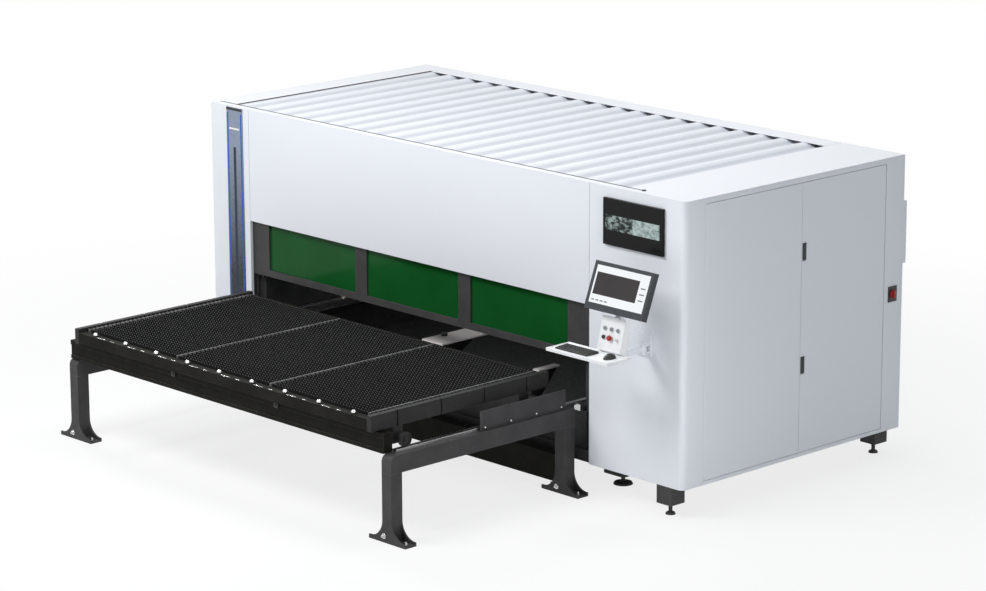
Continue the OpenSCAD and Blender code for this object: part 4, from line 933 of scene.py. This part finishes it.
def make_device_faces():
    """Covers, terminals and lamps on the bay's switchgear, and screws on the laser source."""
    low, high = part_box("mounting_plate")
    plate_margin, columns, rows, fill = 0.060, 5, 3, 0.733
    first_z, row_pitch = 0.640, 0.420
    cover_inset, cover_foot, cover_head, cover_h, cover_soft = 0.006, 0.05, 0.20, 0.004, 0.001
    terminals, terminal_inset, terminal_r, terminal_h = 6, 0.012, 0.005, 0.003
    terminal_rows = (0.018, 0.236)
    lamp_low_r, lamp_high_r, lamp_h, lamp_z = 0.004, 0.003, 0.003, 0.18
    pitch = (high.y - low.y - 2 * plate_margin) / columns
    half = pitch * fill / 2
    bm = bmesh.new()
    for row in range(rows):
        z = first_z + row * row_pitch
        for column in range(columns):
            y = low.y + plate_margin + (column + 0.5) * pitch
            add_block(bm, (high.x, y - half + cover_inset, z + cover_foot),
                      (high.x + cover_h, y + half - cover_inset, z + cover_head), cover_soft, 0)
            for k in along(y - half + terminal_inset, y + half - terminal_inset, terminals):
                for rise in terminal_rows:
                    place = on_face((high.x, k, z + rise), "right")
                    add_round(bm, terminal_r, terminal_r, terminal_h, place, 12, 1)
            place = on_face((high.x + cover_h, y, z + lamp_z), "right")
            add_round(bm, lamp_low_r, lamp_high_r, lamp_h, place, 16, 2)
    low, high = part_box("laser_source")
    source_inset, source_screw_r = 0.02, 0.008
    for y in along(low.y + source_inset, high.y - source_inset, 4):
        for z in (low.z + source_inset, high.z - source_inset):
            add_cap_screw(bm, (high.x, y, z), "right", source_screw_r, 1)
    finished_piece("device_faces", bm, "machine",
                   [BEZEL_GREY, BRIGHT_STEEL, SIGNAL_RED])


def set_studio():
    """A cool soft room, and a background that is white to the camera, to gloss and through glass."""
    world = bpy.data.worlds.new("studio")
    scene.world = world
    world.use_nodes = True
    tree = world.node_tree
    room = tree.nodes["Background"]
    room.inputs["Color"].default_value = AMBIENT_TONE
    room.inputs["Strength"].default_value = AMBIENT
    backdrop = tree.nodes.new("ShaderNodeBackground")
    backdrop.inputs["Color"].default_value = WHITE
    backdrop.inputs["Strength"].default_value = 1
    seen = seen_rays(tree)
    mix = tree.nodes.new("ShaderNodeMixShader")
    link(tree, seen, "Value", mix, 0)
    link(tree, room, "Background", mix, 1)
    link(tree, backdrop, "Background", mix, 2)
    link(tree, mix, "Shader", tree.nodes["World Output"], "Surface")


def seen_rays(tree):
    """1 for rays from the camera, off gloss and through glass."""
    path = tree.nodes.new("ShaderNodeLightPath")
    seen = path.outputs["Is Camera Ray"]
    for ray in ("Is Glossy Ray", "Is Transmission Ray"):
        either = tree.nodes.new("ShaderNodeMath")
        either.operation = "MAXIMUM"
        tree.links.new(seen, either.inputs[0])
        tree.links.new(path.outputs[ray], either.inputs[1])
        seen = either.outputs["Value"]
    return either


def make_floor():
    """A pale floor that keeps the shadows near the machine and fades to white far from it."""
    bm = bmesh.new()
    bmesh.ops.create_grid(bm, x_segments=1, y_segments=1, size=FLOOR_SIZE / 2)
    mesh = bpy.data.meshes.new("floor")
    bm.to_mesh(mesh)
    bm.free()
    finish = bpy.data.materials.new("pale_floor")
    finish.use_nodes = True
    tree = finish.node_tree
    shader = tree.nodes["Principled BSDF"]
    shader.inputs["Base Color"].default_value = FLOOR_TONE
    shader.inputs["Roughness"].default_value = 0.9
    shader.inputs["Specular IOR Level"].default_value = 0
    glow = tree.nodes.new("ShaderNodeEmission")
    glow.inputs["Color"].default_value = WHITE
    glow.inputs["Strength"].default_value = 1
    place = tree.nodes.new("ShaderNodeNewGeometry")
    reach = tree.nodes.new("ShaderNodeVectorMath")
    reach.operation = "LENGTH"
    link(tree, place, "Position", reach, 0)
    fade = tree.nodes.new("ShaderNodeMapRange")
    fade.inputs["From Min"].default_value = FADE_START
    fade.inputs["From Max"].default_value = FADE_END
    fade.inputs["To Min"].default_value = FADE_NEAR
    fade.inputs["To Max"].default_value = 1
    link(tree, reach, "Value", fade, "Value")
    part = tree.nodes.new("ShaderNodeMath")
    part.operation = "MULTIPLY"
    link(tree, fade, "Result", part, 1)
    link(tree, seen_rays(tree), "Value", part, 0)
    mix = tree.nodes.new("ShaderNodeMixShader")
    link(tree, part, "Value", mix, 0)
    link(tree, shader, "BSDF", mix, 1)
    link(tree, glow, "Emission", mix, 2)
    link(tree, mix, "Shader", tree.nodes["Material Output"], "Surface")
    mesh.materials.append(finish)
    floor = bpy.data.objects.new("floor", mesh)
    scene.collection.objects.link(floor)


def soft_lamp(name, place, aim, size, power):
    data = bpy.data.lights.new(name, "AREA")
    data.shape = "RECTANGLE"
    data.size, data.size_y = size
    data.energy = power
    lamp = bpy.data.objects.new(name, data)
    lamp.location = place
    lamp.rotation_euler = (Vector(aim) - Vector(place)).to_track_quat("-Z", "Y").to_euler()
    scene.collection.objects.link(lamp)


def make_camera():
    data = bpy.data.cameras.new("photo_camera")
    data.sensor_fit = "HORIZONTAL"
    data.sensor_width = SENSOR
    data.lens = LENS
    data.clip_end = 200
    camera = bpy.data.objects.new("photo_camera", data)
    turn = (Matrix.Rotation(CAMERA_YAW, 4, "Z") @ Matrix.Rotation(math.pi / 2 + CAMERA_PITCH, 4, "X")
            @ Matrix.Rotation(CAMERA_ROLL, 4, "Z"))
    camera.matrix_world = Matrix.Translation(CAMERA_PLACE) @ turn
    scene.collection.objects.link(camera)
    scene.camera = camera


make_camera()
set_studio()
make_floor()
for lamp_name, lamp_values in LAMPS.items():
    soft_lamp(lamp_name, *lamp_values)
scene.view_settings.view_transform = "Standard"

dress_nodes()
make_slats()
make_anchor_bolts()
make_monitor_screen()
make_wide_picture()
make_strip_lights()
make_keyboard()
make_mouse()
make_ball_glints()
make_beam_stops()
make_roof_shade_strips()
make_infeed_cap()
make_panel_screws()
make_panel_joints()
make_rear_vents()
make_rail_screws()
make_head_fittings()
make_cooler_fan()
make_device_faces()
